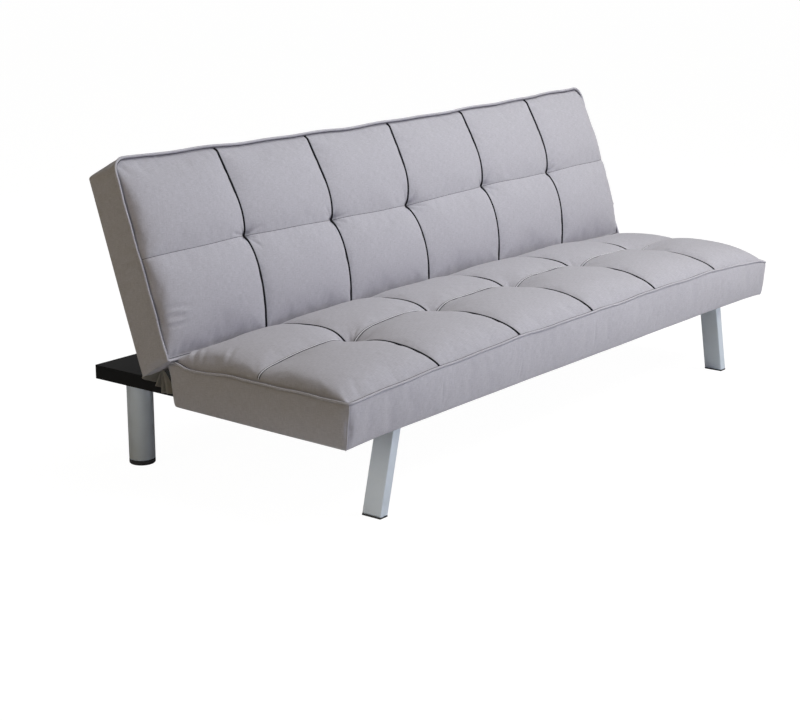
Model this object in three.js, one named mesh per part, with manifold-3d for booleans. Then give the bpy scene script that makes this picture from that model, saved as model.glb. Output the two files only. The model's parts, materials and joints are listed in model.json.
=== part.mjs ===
// Click clack sofa bed: a tufted seat and a tufted back on a timber frame, joined by two ratchet hinges.
// Millimetres, +Z up, +Y towards the rear, +X to the right of a person who faces the seat.
// The origin lies on the floor under the middle of the sofa.
import * as THREE from 'three';
import { mergeVertices } from 'three/addons/utils/BufferGeometryUtils.js';
import Module from 'manifold-3d';

const wasm = await Module();
wasm.setup();

// Overall sizes and clearances
const overallDepth = 796;
const gap = 0.3;
const holeClearance = 0.6;
const overrun = 30;
const weldTolerance = 0.0001;

// Welt cord sewn into the edges of both cushions
const weltRadius = 3;
const weltSides = 6;
const weltSeam = 6;
const weltInset = 0.8;
const weltDrop = 0.5;
const weltProud = weltRadius - weltInset;

// Quilting shared by both cushions
const columns = 6;
const rimShares = [0.03, 0.08];
const columnShares = [0.07, 0.22, 0.5, 0.78, 0.93];
const pillowPower = 0.7;
const acrossPower = 2.2;
const wavePower = 4;
const tuftRadius = 30;
const coverWall = 4;
const borderBulge = 2;

// Seat
const seatWidth = 1800;
const seatDepth = 512;
const seatBottom = 194;
const seatBorderHeight = 84.5;
const seatFrontLift = 8.5;
const seatFrontRise = 16;
const seatSideRise = 17;
const seatCrown = 40;
const seatPanelRise = 11;
const seatTuftDip = 12;
const seatCrownReach = 550;
const seatCornerRadius = 12;
const seatHemInset = 5;
const seatRearSlope = 34;
const seatLidThickness = 10.5;
const seatRearWall = 38;
const seatTuftShare = 0.482;
const seatRowShares = [
  { along: 0, crown: 0, panel: 0 },
  { along: 0.03, crown: 0.25, panel: 0.3 },
  { along: 0.09, crown: 0.62, panel: 0.65 },
  { along: 0.2, crown: 0.95, panel: 0.95 },
  { along: 0.32, crown: 1, panel: 1 },
  { along: 0.42, crown: 1, panel: 0.85 },
  { along: 0.465, crown: 1, panel: 0.6 },
  { along: seatTuftShare, crown: 1, panel: 0.4 },
  { along: 0.5, crown: 1, panel: 0.6 },
  { along: 0.56, crown: 1, panel: 0.85 },
  { along: 0.68, crown: 1, panel: 1 },
  { along: 0.8, crown: 1, panel: 0.9 },
  { along: 0.88, crown: 1, panel: 0.6 },
  { along: 0.929, crown: 0.88, panel: 0.1 },
  { along: 0.936, crown: 0, panel: 0 },
  { along: 1, crown: 0, panel: 0 },
];

// Back rest, drawn lying flat and face up: y runs from its lower edge to its top, z is 0 at its front edge
const backOverhang = 20;
const backHeight = 445;
const backThickness = 90;
const backRecline = 18.8;
const backFootInset = 28;
const backFootRise = 22.5;
const backTopEdge = -5;
const backTopDip = 13;
const backCrown = 30.5;
const backPanelRise = 9;
const backTuftDip = 14;
const backCrownReach = 300;
const backTopRadius = 35;
const backFootRadius = 12;
const backSlant = 20;
const backCeiling = -12;
const backTopWall = 42;
const backLiningChamfer = 18;
const backPanelThickness = 1.5;
const backTuftShare = 0.5;
const backRowShares = [
  { along: 0, crown: 0, panel: 0 },
  { along: 0.035, crown: 0.15, panel: 0.3 },
  { along: 0.11, crown: 0.53, panel: 0.75 },
  { along: 0.22, crown: 0.88, panel: 1 },
  { along: 0.32, crown: 1, panel: 1 },
  { along: 0.42, crown: 0.97, panel: 0.85 },
  { along: 0.475, crown: 0.95, panel: 0.6 },
  { along: backTuftShare, crown: 0.95, panel: 0.4 },
  { along: 0.525, crown: 0.95, panel: 0.6 },
  { along: 0.58, crown: 0.95, panel: 0.85 },
  { along: 0.68, crown: 0.9, panel: 1 },
  { along: 0.79, crown: 0.68, panel: 1 },
  { along: 0.89, crown: 0.36, panel: 0.75 },
  { along: 0.96, crown: 0.12, panel: 0.35 },
  { along: 1, crown: 0, panel: 0 },
];

// Support frame under the seat and behind it
const supportInset = 60;
const supportHeight = 32;
const deckThickness = 4;
const deckLap = 72;
const runnerWidth = 100;
const runnerSetback = 1;
const supportRailWidth = 45;
const crossRailSetback = 5;

// Seat frame
const seatFrameHeight = 46;
const legPlateThickness = 4;
const legBoardDepth = 100;
const legBoardThickness = 20;
const frontRailThickness = 28;
const sideRailThickness = 25.5;
const sideRailInset = 42;
const midRailInset = 262;
const midRailDepth = 40;
const midRailThickness = 12;
const rearRailInset = 97;
const rearRailDepth = 50;
const dustCoverThickness = 1;
const dustCoverDrop = 0.5;
const dustCoverLap = 12;
const feltThickness = 4;
const feltMargin = 8;
const softInset = 52;

// Zigzag springs
const springWire = 4;
const springSides = 4;
const springHalfWidth = 22;
const springPitch = 32;
const springInset = 14;
const tieShares = [0.3, 0.7];
const clipThickness = 1;
const clipFoot = 9;
const clipOverhang = 20;

// Front legs: flat rectangular tube that leans outwards
const frontLegInset = 140;
const frontLegLean = 14;
const frontLegWidth = 50;
const frontLegThickness = 25;
const frontLegWall = 2;
const frontLegFront = 35.5;
const frontPlateLength = 90;
const frontPlateWidth = 60;
const footPadThickness = 4;
const footStem = 12;

// Rear legs: round tube
const rearLegSideInset = 49;
const rearLegRearInset = 90;
const rearLegRadius = 30;
const rearLegWall = 2;
const rearLegSegments = 24;
const rearLegPlate = 4;
const rearFootHeight = 12;
const rearFootChamfer = 2;

// Screws, studs and bolts
const screwRadius = 3;
const screwHeadRadius = 6;
const screwHeadHeight = 3;
const screwLength = 16;
const screwSides = 6;
const screwInset = 10;
const studRadius = 3;
const studLength = 16;
const studInset = 16;
const boltRadius = 4;
const boltHeadRadius = 8;
const boltHeadHeight = 5;
const boltSides = 8;
const boltHeadSides = 6;
const legBoltLength = 20;

// Hinge
const pivotSetback = 9;
const pivotDrop = 4.5;
const hingePlateThickness = 3;
const pivotRadius = 5;
const pivotHeadRadius = 8.5;
const pivotHeadHeight = 6;
const pivotNutHeight = 5;
const eyeRadius = 14;
const hubRadius = 18;
const toothRadius = 25;
const hingeSegments = 12;
const seatArmLength = 88;
const seatArmWidth = 34;
const seatArmDrop = 2;
const backArmFoot = 30;
const backArmTop = 140;
const backArmInset = 58;
const backArmWidth = 26;
const toothAngles = [[257.5, 268], [292, 299.5]];
const toothSteps = 3;
const pawlLength = 35;
const pawlPinRadius = 3;
const pawlPinHeadHeight = 3;
const pawlHubRadius = 6;
const pawlBossRadius = 9;
const pawlTipHalfWidth = 2.2;
const pawlNeckHalfWidth = 4;
const pawlAngle = 250;
const pawlClearance = 0.8;
const pawlTipLength = 8;
const pawlTipRoot = 4;
const pawlSpringWire = 1.2;
const pawlSpringCoil = 5;
const pawlSpringTurns = 3;
const pawlSpringSteps = 8;
const pawlSpringPitch = 1.7;
const pawlSpringLeg = 16;
const hingeSlotSide = 14;
const hingeSlotLid = 1.5;
const eyeSlotInset = 22;
const eyeSlotNear = 22;
const eyeSlotFar = 34;

// Back frame
const backRailWidth = 45;
const backRailFoot = 5;
const backRailTopInset = 59;
const bottomRailFoot = 22;
const stileOffset = 300;
const webbingThickness = 1;
const webbingWidth = 50;
const webbingRowShares = [0.4, 0.75];
const foamFoot = 32;
const foamTopInset = 47;
const foamMargin = 22;

// Places that follow from the sizes above: the seat and its frame
const seatHalf = seatWidth / 2 - weltProud;
const seatRearEdge = seatBottom + seatBorderHeight;
const seatFrontEdge = seatRearEdge + seatFrontLift;
const seatCeiling = seatRearEdge - seatLidThickness;
const seatLiningRear = seatDepth - seatRearWall;
const seatLiningHalf = seatHalf - coverWall;
const softRear = seatDepth - softInset;
const frameBottom = seatBottom + legPlateThickness + holeClearance;
const frameTop = seatBottom + seatFrameHeight;
const frameFront = weltProud + seatHemInset + coverWall + gap;
const sideRailOuter = seatLiningHalf - gap;
const sideRailInner = sideRailOuter - sideRailThickness;
const sideRailRear = seatDepth - sideRailInset;
const railEnd = sideRailInner - gap;
const midRailMiddle = seatDepth - midRailInset;
const rearRailFront = seatDepth - rearRailInset;
const stripRoof = frameTop + gap + springWire + gap;
const feltBottom = stripRoof + clipThickness + gap;

// Places of the support and the legs
const supportBottom = seatBottom;
const supportHalfWidth = seatWidth / 2 - supportInset;
const deckTop = supportBottom + supportHeight;
const deckBottom = deckTop - deckThickness;
const deckFront = seatDepth - deckLap;
const runnerTop = deckBottom - gap;
const runnerInner = supportHalfWidth - runnerWidth;
const runnerFront = frameFront + legBoardDepth + runnerSetback;
const crossRailFront = deckFront + crossRailSetback;
const midRailTop = runnerTop + gap + midRailThickness;
const legPlateBottom = frameBottom - gap - legPlateThickness;
const frontRailBottom = frameBottom + legBoardThickness + gap;
const frontLegFootX = seatWidth / 2 - frontLegInset;
const rearLegX = supportHalfWidth - rearLegSideInset;
const rearLegY = overallDepth - rearLegRearInset;

// Places of the hinges
const pivotDepth = seatDepth + pivotSetback;
const pivotHeight = seatRearEdge - pivotDrop;
const seatArmRear = softRear;
const seatArmFront = seatArmRear - seatArmLength;
const seatArmTop = frameTop - seatArmDrop;
const seatArmBottom = seatArmTop - seatArmWidth;
const seatArmOuter = railEnd;
const seatArmInner = seatArmOuter - hingePlateThickness;
const backArmOuter = seatArmInner - gap;
const backArmInner = backArmOuter - hingePlateThickness;
const backArmNear = -backArmInset;
const backArmFar = backArmNear - backArmWidth;
const hingeSlotTop = seatRearEdge - hingeSlotLid;
const eyeSlotFront = seatDepth - eyeSlotInset;

// Places of the back rest
const backHalf = seatWidth / 2 + backOverhang - weltProud;
const backFootDepth = seatDepth - backFootInset;
const backFootHeight = seatRearEdge + backFootRise;
const backLiningHalf = backHalf - coverWall;
const backLiningTop = backHeight - backTopWall;
const backRailTop = backHeight - backRailTopInset;
const foamTop = backHeight - foamTopInset;
const backRailBack = backPanelThickness + gap - backThickness;
const backRailFront = backArmNear + holeClearance;

// Turns any closed geometry into one with shared corners and only its positions
function plain(geometry) {
  const source = new THREE.BufferGeometry();
  source.setAttribute('position', geometry.getAttribute('position').clone());
  if (geometry.index) source.setIndex(geometry.index.clone());
  const merged = mergeVertices(source, weldTolerance);
  const place = merged.getAttribute('position');
  const index = merged.index.array;
  const corners = [new THREE.Vector3(), new THREE.Vector3(), new THREE.Vector3()];
  let volume = 0;
  for (let i = 0; i < index.length; i += 3) {
    corners.forEach((corner, k) => corner.fromBufferAttribute(place, index[i + k]));
    volume += corners[0].dot(corners[1].clone().cross(corners[2]));
  }
  if (volume < 0) {
    for (let i = 0; i < index.length; i += 3) {
      [index[i], index[i + 1]] = [index[i + 1], index[i]];
    }
  }
  return merged;
}

function toSolid(geometry) {
  const merged = plain(geometry);
  return new wasm.Manifold(new wasm.Mesh({
    numProp: 3,
    vertProperties: Float32Array.from(merged.getAttribute('position').array),
    triVerts: Uint32Array.from(merged.index.array),
  }));
}

function toGeometry(solid) {
  const mesh = solid.getMesh();
  const geometry = new THREE.BufferGeometry();
  geometry.setAttribute('position', new THREE.BufferAttribute(Float32Array.from(mesh.vertProperties), 3));
  geometry.setIndex(Array.from(mesh.triVerts));
  return geometry;
}

function carve(geometry, cutters) {
  const start = toSolid(geometry);
  return toGeometry(cutters.reduce((solid, cutter) => solid.subtract(toSolid(cutter)), start));
}

function fuse(geometries) {
  const [first, ...others] = geometries.map(toSolid);
  return toGeometry(others.reduce((solid, other) => solid.add(other), first));
}

function block(x0, x1, y0, y1, z0, z1) {
  const box = new THREE.BoxGeometry(x1 - x0, y1 - y0, z1 - z0);
  return box.translate((x0 + x1) / 2, (y0 + y1) / 2, (z0 + z1) / 2);
}

// An upright round bar, and one that lies along X
function uprightBar(radius, sides, x, y, z0, z1) {
  const bar = new THREE.CylinderGeometry(radius, radius, z1 - z0, sides);
  return bar.rotateX(Math.PI / 2).translate(x, y, (z0 + z1) / 2);
}

function crossBar(radius, sides, x0, x1, y, z) {
  const bar = new THREE.CylinderGeometry(radius, radius, x1 - x0, sides);
  return bar.rotateZ(Math.PI / 2).translate((x0 + x1) / 2, y, z);
}

function upright(points, segments, x, y) {
  const profile = points.map(([radius, height]) => new THREE.Vector2(radius, height));
  return new THREE.LatheGeometry(profile, segments).rotateX(Math.PI / 2).translate(x, y, 0);
}

// A plate whose outline lies in the Y-Z plane and whose thickness runs along X
function sidePlate(shape, x0, x1) {
  const turn = new THREE.Matrix4().makeBasis(
    new THREE.Vector3(0, 1, 0),
    new THREE.Vector3(0, 0, 1),
    new THREE.Vector3(1, 0, 0),
  );
  const plate = new THREE.ExtrudeGeometry(shape, { depth: x1 - x0, bevelEnabled: false });
  return plate.applyMatrix4(turn).translate(x0, 0, 0);
}

// A bar whose outline lies in the X-Z plane and whose length runs along Y
function frontPlate(shape, y0, y1) {
  const plate = new THREE.ExtrudeGeometry(shape, { depth: y1 - y0, bevelEnabled: false });
  return plate.rotateX(Math.PI / 2).translate(0, y1, 0);
}

function mirrored(geometry, side) {
  return side < 0 ? plain(geometry.clone().scale(-1, 1, 1)) : geometry;
}

// A round tube along points; up is never along the tube
function sweepTube(points, radius, sides, closed, up) {
  const positions = [];
  const index = [];
  const count = points.length;
  points.forEach((point, i) => {
    const before = points[closed ? (i + count - 1) % count : Math.max(i - 1, 0)];
    const after = points[closed ? (i + 1) % count : Math.min(i + 1, count - 1)];
    const along = after.clone().sub(before).normalize();
    const across = along.clone().cross(up).normalize();
    const lift = across.clone().cross(along);
    for (let k = 0; k < sides; k += 1) {
      const angle = (2 * Math.PI * k) / sides;
      const corner = point.clone();
      corner.addScaledVector(across, radius * Math.cos(angle));
      corner.addScaledVector(lift, radius * Math.sin(angle));
      positions.push(corner.x, corner.y, corner.z);
    }
  });
  const rings = closed ? count : count - 1;
  for (let i = 0; i < rings; i += 1) {
    const next = (i + 1) % count;
    for (let k = 0; k < sides; k += 1) {
      const side = (k + 1) % sides;
      index.push(i * sides + k, next * sides + k, next * sides + side);
      index.push(i * sides + k, next * sides + side, i * sides + side);
    }
  }
  if (!closed) {
    const last = (count - 1) * sides;
    for (let k = 1; k < sides - 1; k += 1) {
      index.push(0, k, k + 1);
      index.push(last, last + k + 1, last + k);
    }
  }
  const geometry = new THREE.BufferGeometry();
  geometry.setAttribute('position', new THREE.Float32BufferAttribute(positions, 3));
  geometry.setIndex(index);
  return geometry;
}

// The quilted cushions. A place on one is (across, along): across runs from -1 to 1, along from 0 to 1.
const seatForm = {
  half: seatHalf,
  near: weltProud,
  far: seatDepth,
  farDip: 0,
  nearRadius: seatCornerRadius,
  farRadius: seatCornerRadius,
  nearEdge: seatFrontEdge,
  farEdge: seatRearEdge,
  nearRise: seatFrontRise,
  sideRise: seatSideRise,
  crown: seatCrown,
  crownReach: seatCrownReach,
  panelRise: seatPanelRise,
  tuftDip: seatTuftDip,
  tuftShare: seatTuftShare,
  rows: seatRowShares,
  hemHeight: seatBottom,
  hemNear: seatHemInset,
  hemFar: -seatRearSlope,
  ceiling: seatCeiling,
  lining: [
    [-seatLiningHalf, frameFront - gap],
    [seatLiningHalf, frameFront - gap],
    [seatLiningHalf, seatLiningRear],
    [-seatLiningHalf, seatLiningRear],
  ],
};

const backForm = {
  half: backHalf,
  near: weltProud,
  far: backHeight - weltProud,
  farDip: backTopDip,
  nearRadius: backFootRadius,
  farRadius: backTopRadius,
  nearEdge: 0,
  farEdge: backTopEdge,
  nearRise: 0,
  sideRise: 0,
  crown: backCrown,
  crownReach: backCrownReach,
  panelRise: backPanelRise,
  tuftDip: backTuftDip,
  tuftShare: backTuftShare,
  rows: backRowShares,
  hemHeight: backPanelThickness + gap - backThickness,
  hemNear: -backSlant,
  hemFar: -backSlant,
  ceiling: backCeiling,
  lining: [
    [-backLiningHalf, coverWall],
    [backLiningHalf, coverWall],
    [backLiningHalf, backLiningTop - backLiningChamfer],
    [backLiningHalf - backLiningChamfer, backLiningTop],
    [backLiningChamfer - backLiningHalf, backLiningTop],
    [-backLiningHalf, backLiningTop - backLiningChamfer],
  ],
};

// Grid lines across: every seam, the lines between seams, and closer lines at both rims
function acrossLines() {
  const lines = [];
  for (let column = 0; column < columns; column += 1) {
    let shares = columnShares;
    if (column === 0) shares = [...rimShares, ...columnShares.slice(1)];
    if (column === columns - 1) {
      shares = [...columnShares.slice(0, -1), ...rimShares.map((share) => 1 - share).reverse()];
    }
    [0, ...shares].forEach((share) => lines.push((2 * (column + share)) / columns - 1));
  }
  lines.push(1);
  return lines;
}

// Where a point of one level of the cushion lies, with its corners rounded
function outlinePlace(form, level, across, along) {
  const half = form.half - level.inset;
  const near = form.near + level.near + level.inset;
  const dip = form.farDip * (1 - across * across);
  const far = form.far + level.far - dip - level.inset;
  const nearHalf = along < form.tuftShare;
  const radius = (nearHalf ? form.nearRadius : form.farRadius) - level.inset;
  let x = across * half;
  let y = near + (far - near) * along;
  const overX = Math.abs(x) - (half - radius);
  const overY = nearHalf ? near + radius - y : y - (far - radius);
  if (overX > 0 && overY > 0) {
    const pull = Math.max(overX, overY) / Math.hypot(overX, overY) - 1;
    x += Math.sign(x) * overX * pull;
    y += (nearHalf ? -1 : 1) * overY * pull;
  }
  return [x, y];
}

function edgeHeight(form, across, along) {
  const ends = form.nearEdge + (form.farEdge - form.nearEdge) * along;
  const nearWave = form.nearRise * (1 - across ** wavePower) * (1 - along);
  const sideWave = form.sideRise * 4 * along * (1 - along);
  return ends + nearWave + sideWave;
}

// The height of the quilted face: crown, panels between the seams, and the dips at the tufts
function faceHeight(form, across, row) {
  const [x, y] = outlinePlace(form, levelOf(form, 'face'), across, row.along);
  const rim = Math.min(1, (1 - Math.abs(across)) * (form.half / form.crownReach));
  const acrossShare = 1 - (1 - rim) ** acrossPower;
  const column = ((across + 1) * columns) / 2;
  const inColumn = column - Math.floor(column);
  const pillow = (4 * inColumn * (1 - inColumn)) ** pillowPower;
  let height = edgeHeight(form, across, row.along);
  height += form.crown * row.crown * acrossShare;
  height += form.panelRise * row.panel * pillow;
  for (let seam = 1; seam < columns; seam += 1) {
    const tuftX = form.half * ((2 * seam) / columns - 1);
    const tuftY = form.near + (form.far - form.near) * form.tuftShare;
    const away = Math.hypot(x - tuftX, y - tuftY) / tuftRadius;
    height -= form.tuftDip * Math.exp(-away * away);
  }
  return height;
}

// Levels of the shell from the face down to the hem
function levelOf(form, name) {
  const levels = {
    face: { inset: weltSeam, near: 0, far: 0 },
    shoulder: { inset: 0, near: 0, far: 0 },
    waist: { inset: -borderBulge, near: form.hemNear / 2, far: form.hemFar / 2 },
    hem: { inset: 0, near: form.hemNear, far: form.hemFar },
    welt: { inset: weltInset, near: 0, far: 0 },
  };
  return levels[name];
}

function levelHeight(form, name, across, along) {
  const edge = edgeHeight(form, across, along);
  const shoulder = edge - weltSeam;
  if (name === 'shoulder') return shoulder;
  if (name === 'welt') return edge - weltDrop;
  if (name === 'waist') return (shoulder + form.hemHeight) / 2;
  return form.hemHeight;
}

// The rim of the grid as (across, along) pairs, anticlockwise seen from above
function rimPlaces(form) {
  const lines = acrossLines();
  const rows = form.rows.map((row) => row.along);
  const near = lines.slice(0, -1).map((across) => [across, 0]);
  const right = rows.slice(0, -1).map((along) => [1, along]);
  const far = lines.slice(1).reverse().map((across) => [across, 1]);
  const left = rows.slice(1).reverse().map((along) => [-1, along]);
  return [...near, ...right, ...far, ...left];
}

// One closed shell: quilted face, border with its shoulder and waist, hem and flat lining
function quiltedShell(form) {
  const positions = [];
  const index = [];
  const lines = acrossLines();
  const rows = form.rows;
  const add = (x, y, z) => positions.push(x, y, z) / 3 - 1;
  const quad = (a, b, c, d) => index.push(a, b, c, a, c, d);
  const onRim = new Map();
  const grid = rows.map((row) => lines.map((across) => {
    const [x, y] = outlinePlace(form, levelOf(form, 'face'), across, row.along);
    const vertex = add(x, y, faceHeight(form, across, row));
    onRim.set(`${across} ${row.along}`, vertex);
    return vertex;
  }));
  for (let j = 0; j < rows.length - 1; j += 1) {
    for (let i = 0; i < lines.length - 1; i += 1) {
      quad(grid[j][i], grid[j][i + 1], grid[j + 1][i + 1], grid[j + 1][i]);
    }
  }
  const places = rimPlaces(form);
  const count = places.length;
  const rings = [places.map(([across, along]) => onRim.get(`${across} ${along}`))];
  ['shoulder', 'waist', 'hem'].forEach((name) => {
    rings.push(places.map(([across, along]) => {
      const [x, y] = outlinePlace(form, levelOf(form, name), across, along);
      return add(x, y, levelHeight(form, name, across, along));
    }));
  });
  for (let ring = 0; ring < rings.length - 1; ring += 1) {
    for (let k = 0; k < count; k += 1) {
      const next = (k + 1) % count;
      quad(rings[ring][k], rings[ring + 1][k], rings[ring + 1][next], rings[ring][next]);
    }
  }
  const hem = rings[rings.length - 1];
  const low = form.lining.map(([x, y]) => add(x, y, form.hemHeight));
  const high = form.lining.map(([x, y]) => add(x, y, form.ceiling));
  const inner = form.lining.map(([x, y]) => new THREE.Vector2(x, y));
  const outer = hem.map((vertex) => new THREE.Vector2(positions[vertex * 3], positions[vertex * 3 + 1]));
  const flat = [...outer, ...inner];
  const flatVertices = [...hem, ...low];
  THREE.ShapeUtils.triangulateShape(outer, [inner]).forEach(([a, b, c]) => {
    const turn = flat[b].clone().sub(flat[a]).cross(flat[c].clone().sub(flat[a]));
    const face = turn > 0 ? [a, c, b] : [a, b, c];
    index.push(...face.map((k) => flatVertices[k]));
  });
  low.forEach((vertex, k) => {
    const next = (k + 1) % low.length;
    quad(vertex, high[k], high[next], low[next]);
  });
  THREE.ShapeUtils.triangulateShape(inner, []).forEach(([a, b, c]) => {
    const turn = inner[b].clone().sub(inner[a]).cross(inner[c].clone().sub(inner[a]));
    const face = turn > 0 ? [a, c, b] : [a, b, c];
    index.push(...face.map((k) => high[k]));
  });
  const geometry = new THREE.BufferGeometry();
  geometry.setAttribute('position', new THREE.Float32BufferAttribute(positions, 3));
  geometry.setIndex(index);
  return geometry;
}

// The welt follows the same rim, round the whole cushion or open along its far edge
function welt(form, closed) {
  const places = rimPlaces(form);
  const chosen = closed ? places : openRim(form, places);
  const points = chosen.map(([across, along]) => {
    const [x, y] = outlinePlace(form, levelOf(form, 'welt'), across, along);
    return new THREE.Vector3(x, y, levelHeight(form, 'welt', across, along));
  });
  return sweepTube(points, weltRadius, weltSides, closed, new THREE.Vector3(0, 0, 1));
}

function openRim(form, places) {
  const sideRows = form.rows.map((row) => row.along).slice(0, -1);
  const left = sideRows.slice(1).reverse().map((along) => [-1, along]);
  const near = places.filter(([, along]) => along === 0);
  const right = sideRows.map((along) => [1, along]);
  return [...left, ...near, ...right];
}

// Slots in the soft covers where the hinge plates pass
function hingeSlotSpan() {
  return [backArmInner - hingeSlotSide - gap, seatArmOuter + hingeSlotSide];
}

function seatCoverCutters() {
  const [inner, outer] = hingeSlotSpan();
  const deckHalf = supportHalfWidth + gap;
  const rear = seatDepth + overrun;
  const low = seatBottom - overrun;
  const cutters = [block(-deckHalf, deckHalf, softRear, rear, low, deckTop + holeClearance)];
  [-1, 1].forEach((side) => {
    const x = [side * inner, side * outer].sort((a, b) => a - b);
    cutters.push(block(x[0], x[1], sideRailRear, rear, low, hingeSlotTop));
    cutters.push(block(x[0], x[1], eyeSlotFront, rear, low, seatRearEdge + overrun));
  });
  return cutters;
}

function backCoverCutters() {
  const [inner, outer] = hingeSlotSpan();
  const pivotOut = pivotInBack()[1];
  return [-1, 1].map((side) => {
    const x = [side * inner, side * outer].sort((a, b) => a - b);
    return block(x[0], x[1], -overrun, coverWall + gap, pivotOut - eyeSlotFar, pivotOut + eyeSlotNear);
  });
}

// The pivot's place in the frame that the back is drawn in
function pivotInBack() {
  const tilt = THREE.MathUtils.degToRad(backRecline);
  const dy = pivotDepth - backFootDepth;
  const dz = pivotHeight - backFootHeight;
  const along = dy * Math.sin(tilt) + dz * Math.cos(tilt);
  const out = dz * Math.sin(tilt) - dy * Math.cos(tilt);
  return [along, out];
}

const screwHoleRadius = screwRadius + holeClearance;
const studHoleRadius = studRadius + holeClearance;
const boltHoleRadius = boltRadius + holeClearance;

// Seat frame
function seatArmStudPlaces() {
  const middle = (seatArmBottom + seatArmTop) / 2;
  const first = seatArmFront + studInset;
  const last = seatArmRear - studInset;
  return [first, (first + last) / 2, last].map((y) => [y, middle]);
}

function sideRail(side) {
  const rail = block(sideRailInner, sideRailOuter, frameFront, sideRailRear, frameBottom, frameTop);
  const holeEnd = sideRailInner + studLength + gap;
  const holes = seatArmStudPlaces().map(([y, z]) => (
    crossBar(studHoleRadius, screwSides, sideRailInner - overrun, holeEnd, y, z)
  ));
  return mirrored(carve(rail, holes), side);
}

function frontPlateSpan() {
  const lean = Math.tan(THREE.MathUtils.degToRad(frontLegLean));
  const outer = frontLegFootX - lean * legPlateBottom;
  const middle = outer - frontLegThickness / 2;
  return [middle - frontPlateLength / 2, middle + frontPlateLength / 2];
}

function legScrewPlaces() {
  const [x0, x1] = frontPlateSpan();
  const y = frontLegFront + frontLegWidth / 2;
  return [[x0 + screwInset, y], [x1 - screwInset, y]];
}

function legBoard() {
  const rear = frameFront + legBoardDepth;
  const board = block(-railEnd, railEnd, frameFront, rear, frameBottom, frameBottom + legBoardThickness);
  const holeEnd = frameBottom + screwLength + gap;
  const holes = [-1, 1].flatMap((side) => legScrewPlaces().map(([x, y]) => (
    uprightBar(screwHoleRadius, screwSides, side * x, y, frameBottom - overrun, holeEnd)
  )));
  return carve(board, holes);
}

function frontRail() {
  return block(-railEnd, railEnd, frameFront, frameFront + frontRailThickness, frontRailBottom, frameTop);
}

// Where bolts tie the seat frame to the runners
const frameBoltX = supportHalfWidth - runnerWidth / 2;

function midRail() {
  const front = midRailMiddle - midRailDepth / 2;
  const rail = block(-railEnd, railEnd, front, front + midRailDepth, runnerTop + gap, midRailTop);
  return carve(rail, [-1, 1].map((side) => (
    uprightBar(boltHoleRadius, boltSides, side * frameBoltX, midRailMiddle, runnerTop, midRailTop + overrun)
  )));
}

function rearRail() {
  const end = seatArmInner - gap;
  return block(-end, end, rearRailFront, rearRailFront + rearRailDepth, deckTop + gap, frameTop);
}

function dustCover() {
  const top = frameBottom - dustCoverDrop;
  const front = frameFront + legBoardDepth - dustCoverLap;
  const rear = crossRailFront - gap;
  const half = runnerInner - gap;
  return block(-half, half, front, rear, top - dustCoverThickness, top);
}

function feltPad() {
  const half = seatLiningHalf - feltMargin;
  return block(-half, half, frameFront, softRear, feltBottom, feltBottom + feltThickness);
}

function seatFoam() {
  const half = seatLiningHalf - gap;
  return block(-half, half, frameFront, softRear, feltBottom + feltThickness + gap, seatCeiling - gap);
}

// Springs run from the front rail to the rear rail, one under the middle of each column of panels
function springColumns() {
  return Array.from({ length: columns }, (_, k) => seatHalf * ((2 * k + 1) / columns - 1));
}

function springEnds() {
  const first = frameFront + springInset;
  const room = rearRailFront + rearRailDepth / 2 - first;
  const runs = Math.max(2, Math.round(room / springPitch));
  return { first, last: first + room, pitch: room / runs, runs };
}

function zigzagSpring(x) {
  const { first, pitch, runs } = springEnds();
  const height = frameTop + gap + springWire / 2;
  const points = [];
  for (let run = 0; run <= runs; run += 1) {
    const side = run % 2 === 0 ? 1 : -1;
    const y = first + pitch * run;
    points.push(new THREE.Vector3(x - side * springHalfWidth, y, height));
    points.push(new THREE.Vector3(x + side * springHalfWidth, y, height));
  }
  return sweepTube(points, springWire / 2, springSides, false, new THREE.Vector3(0, 0, 1));
}

// The springs are tied together by two wires across them
function springDeck() {
  const { first, pitch, runs } = springEnds();
  const height = frameTop + gap + springWire / 2;
  const columnsX = springColumns();
  const ties = tieShares.map((share) => {
    const y = first + pitch * Math.round(runs * share);
    return crossBar(springWire / 2, springSides + 1, columnsX[0], columnsX[columns - 1], y, height);
  });
  return fuse([...columnsX.map(zigzagSpring), ...ties]);
}

// A folded strip that hooks over the end runs of all the springs; away points from the springs to its foot
function springStrip(y, away) {
  const low = frameTop + gap;
  const reach = springWire / 2 + gap;
  const top = stripRoof + clipThickness;
  const outline = [
    [y - away * reach, stripRoof],
    [y - away * reach, top],
    [y + away * (reach + clipThickness), top],
    [y + away * (reach + clipThickness), low + clipThickness],
    [y + away * (reach + clipFoot), low + clipThickness],
    [y + away * (reach + clipFoot), low],
    [y + away * reach, low],
    [y + away * reach, stripRoof],
  ];
  const shape = new THREE.Shape(outline.map(([a, b]) => new THREE.Vector2(a, b)));
  const half = springColumns()[columns - 1] + springHalfWidth + clipOverhang;
  return sidePlate(shape, -half, half);
}

// Support frame
function runner(side) {
  const bar = block(runnerInner, supportHalfWidth, runnerFront, overallDepth, supportBottom, runnerTop);
  const low = supportBottom - overrun;
  const high = supportBottom + legBoltLength + gap;
  const holes = [
    uprightBar(boltHoleRadius, boltSides, frameBoltX, midRailMiddle, low, runnerTop + overrun),
    uprightBar(boltHoleRadius, boltSides, rearLegX, rearLegY, low, high),
  ];
  return mirrored(carve(bar, holes), side);
}

function supportRail(front) {
  const half = runnerInner - gap;
  return block(-half, half, front, front + supportRailWidth, supportBottom, runnerTop);
}

function deck() {
  return block(-supportHalfWidth, supportHalfWidth, deckFront, overallDepth, deckBottom, deckTop);
}

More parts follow.
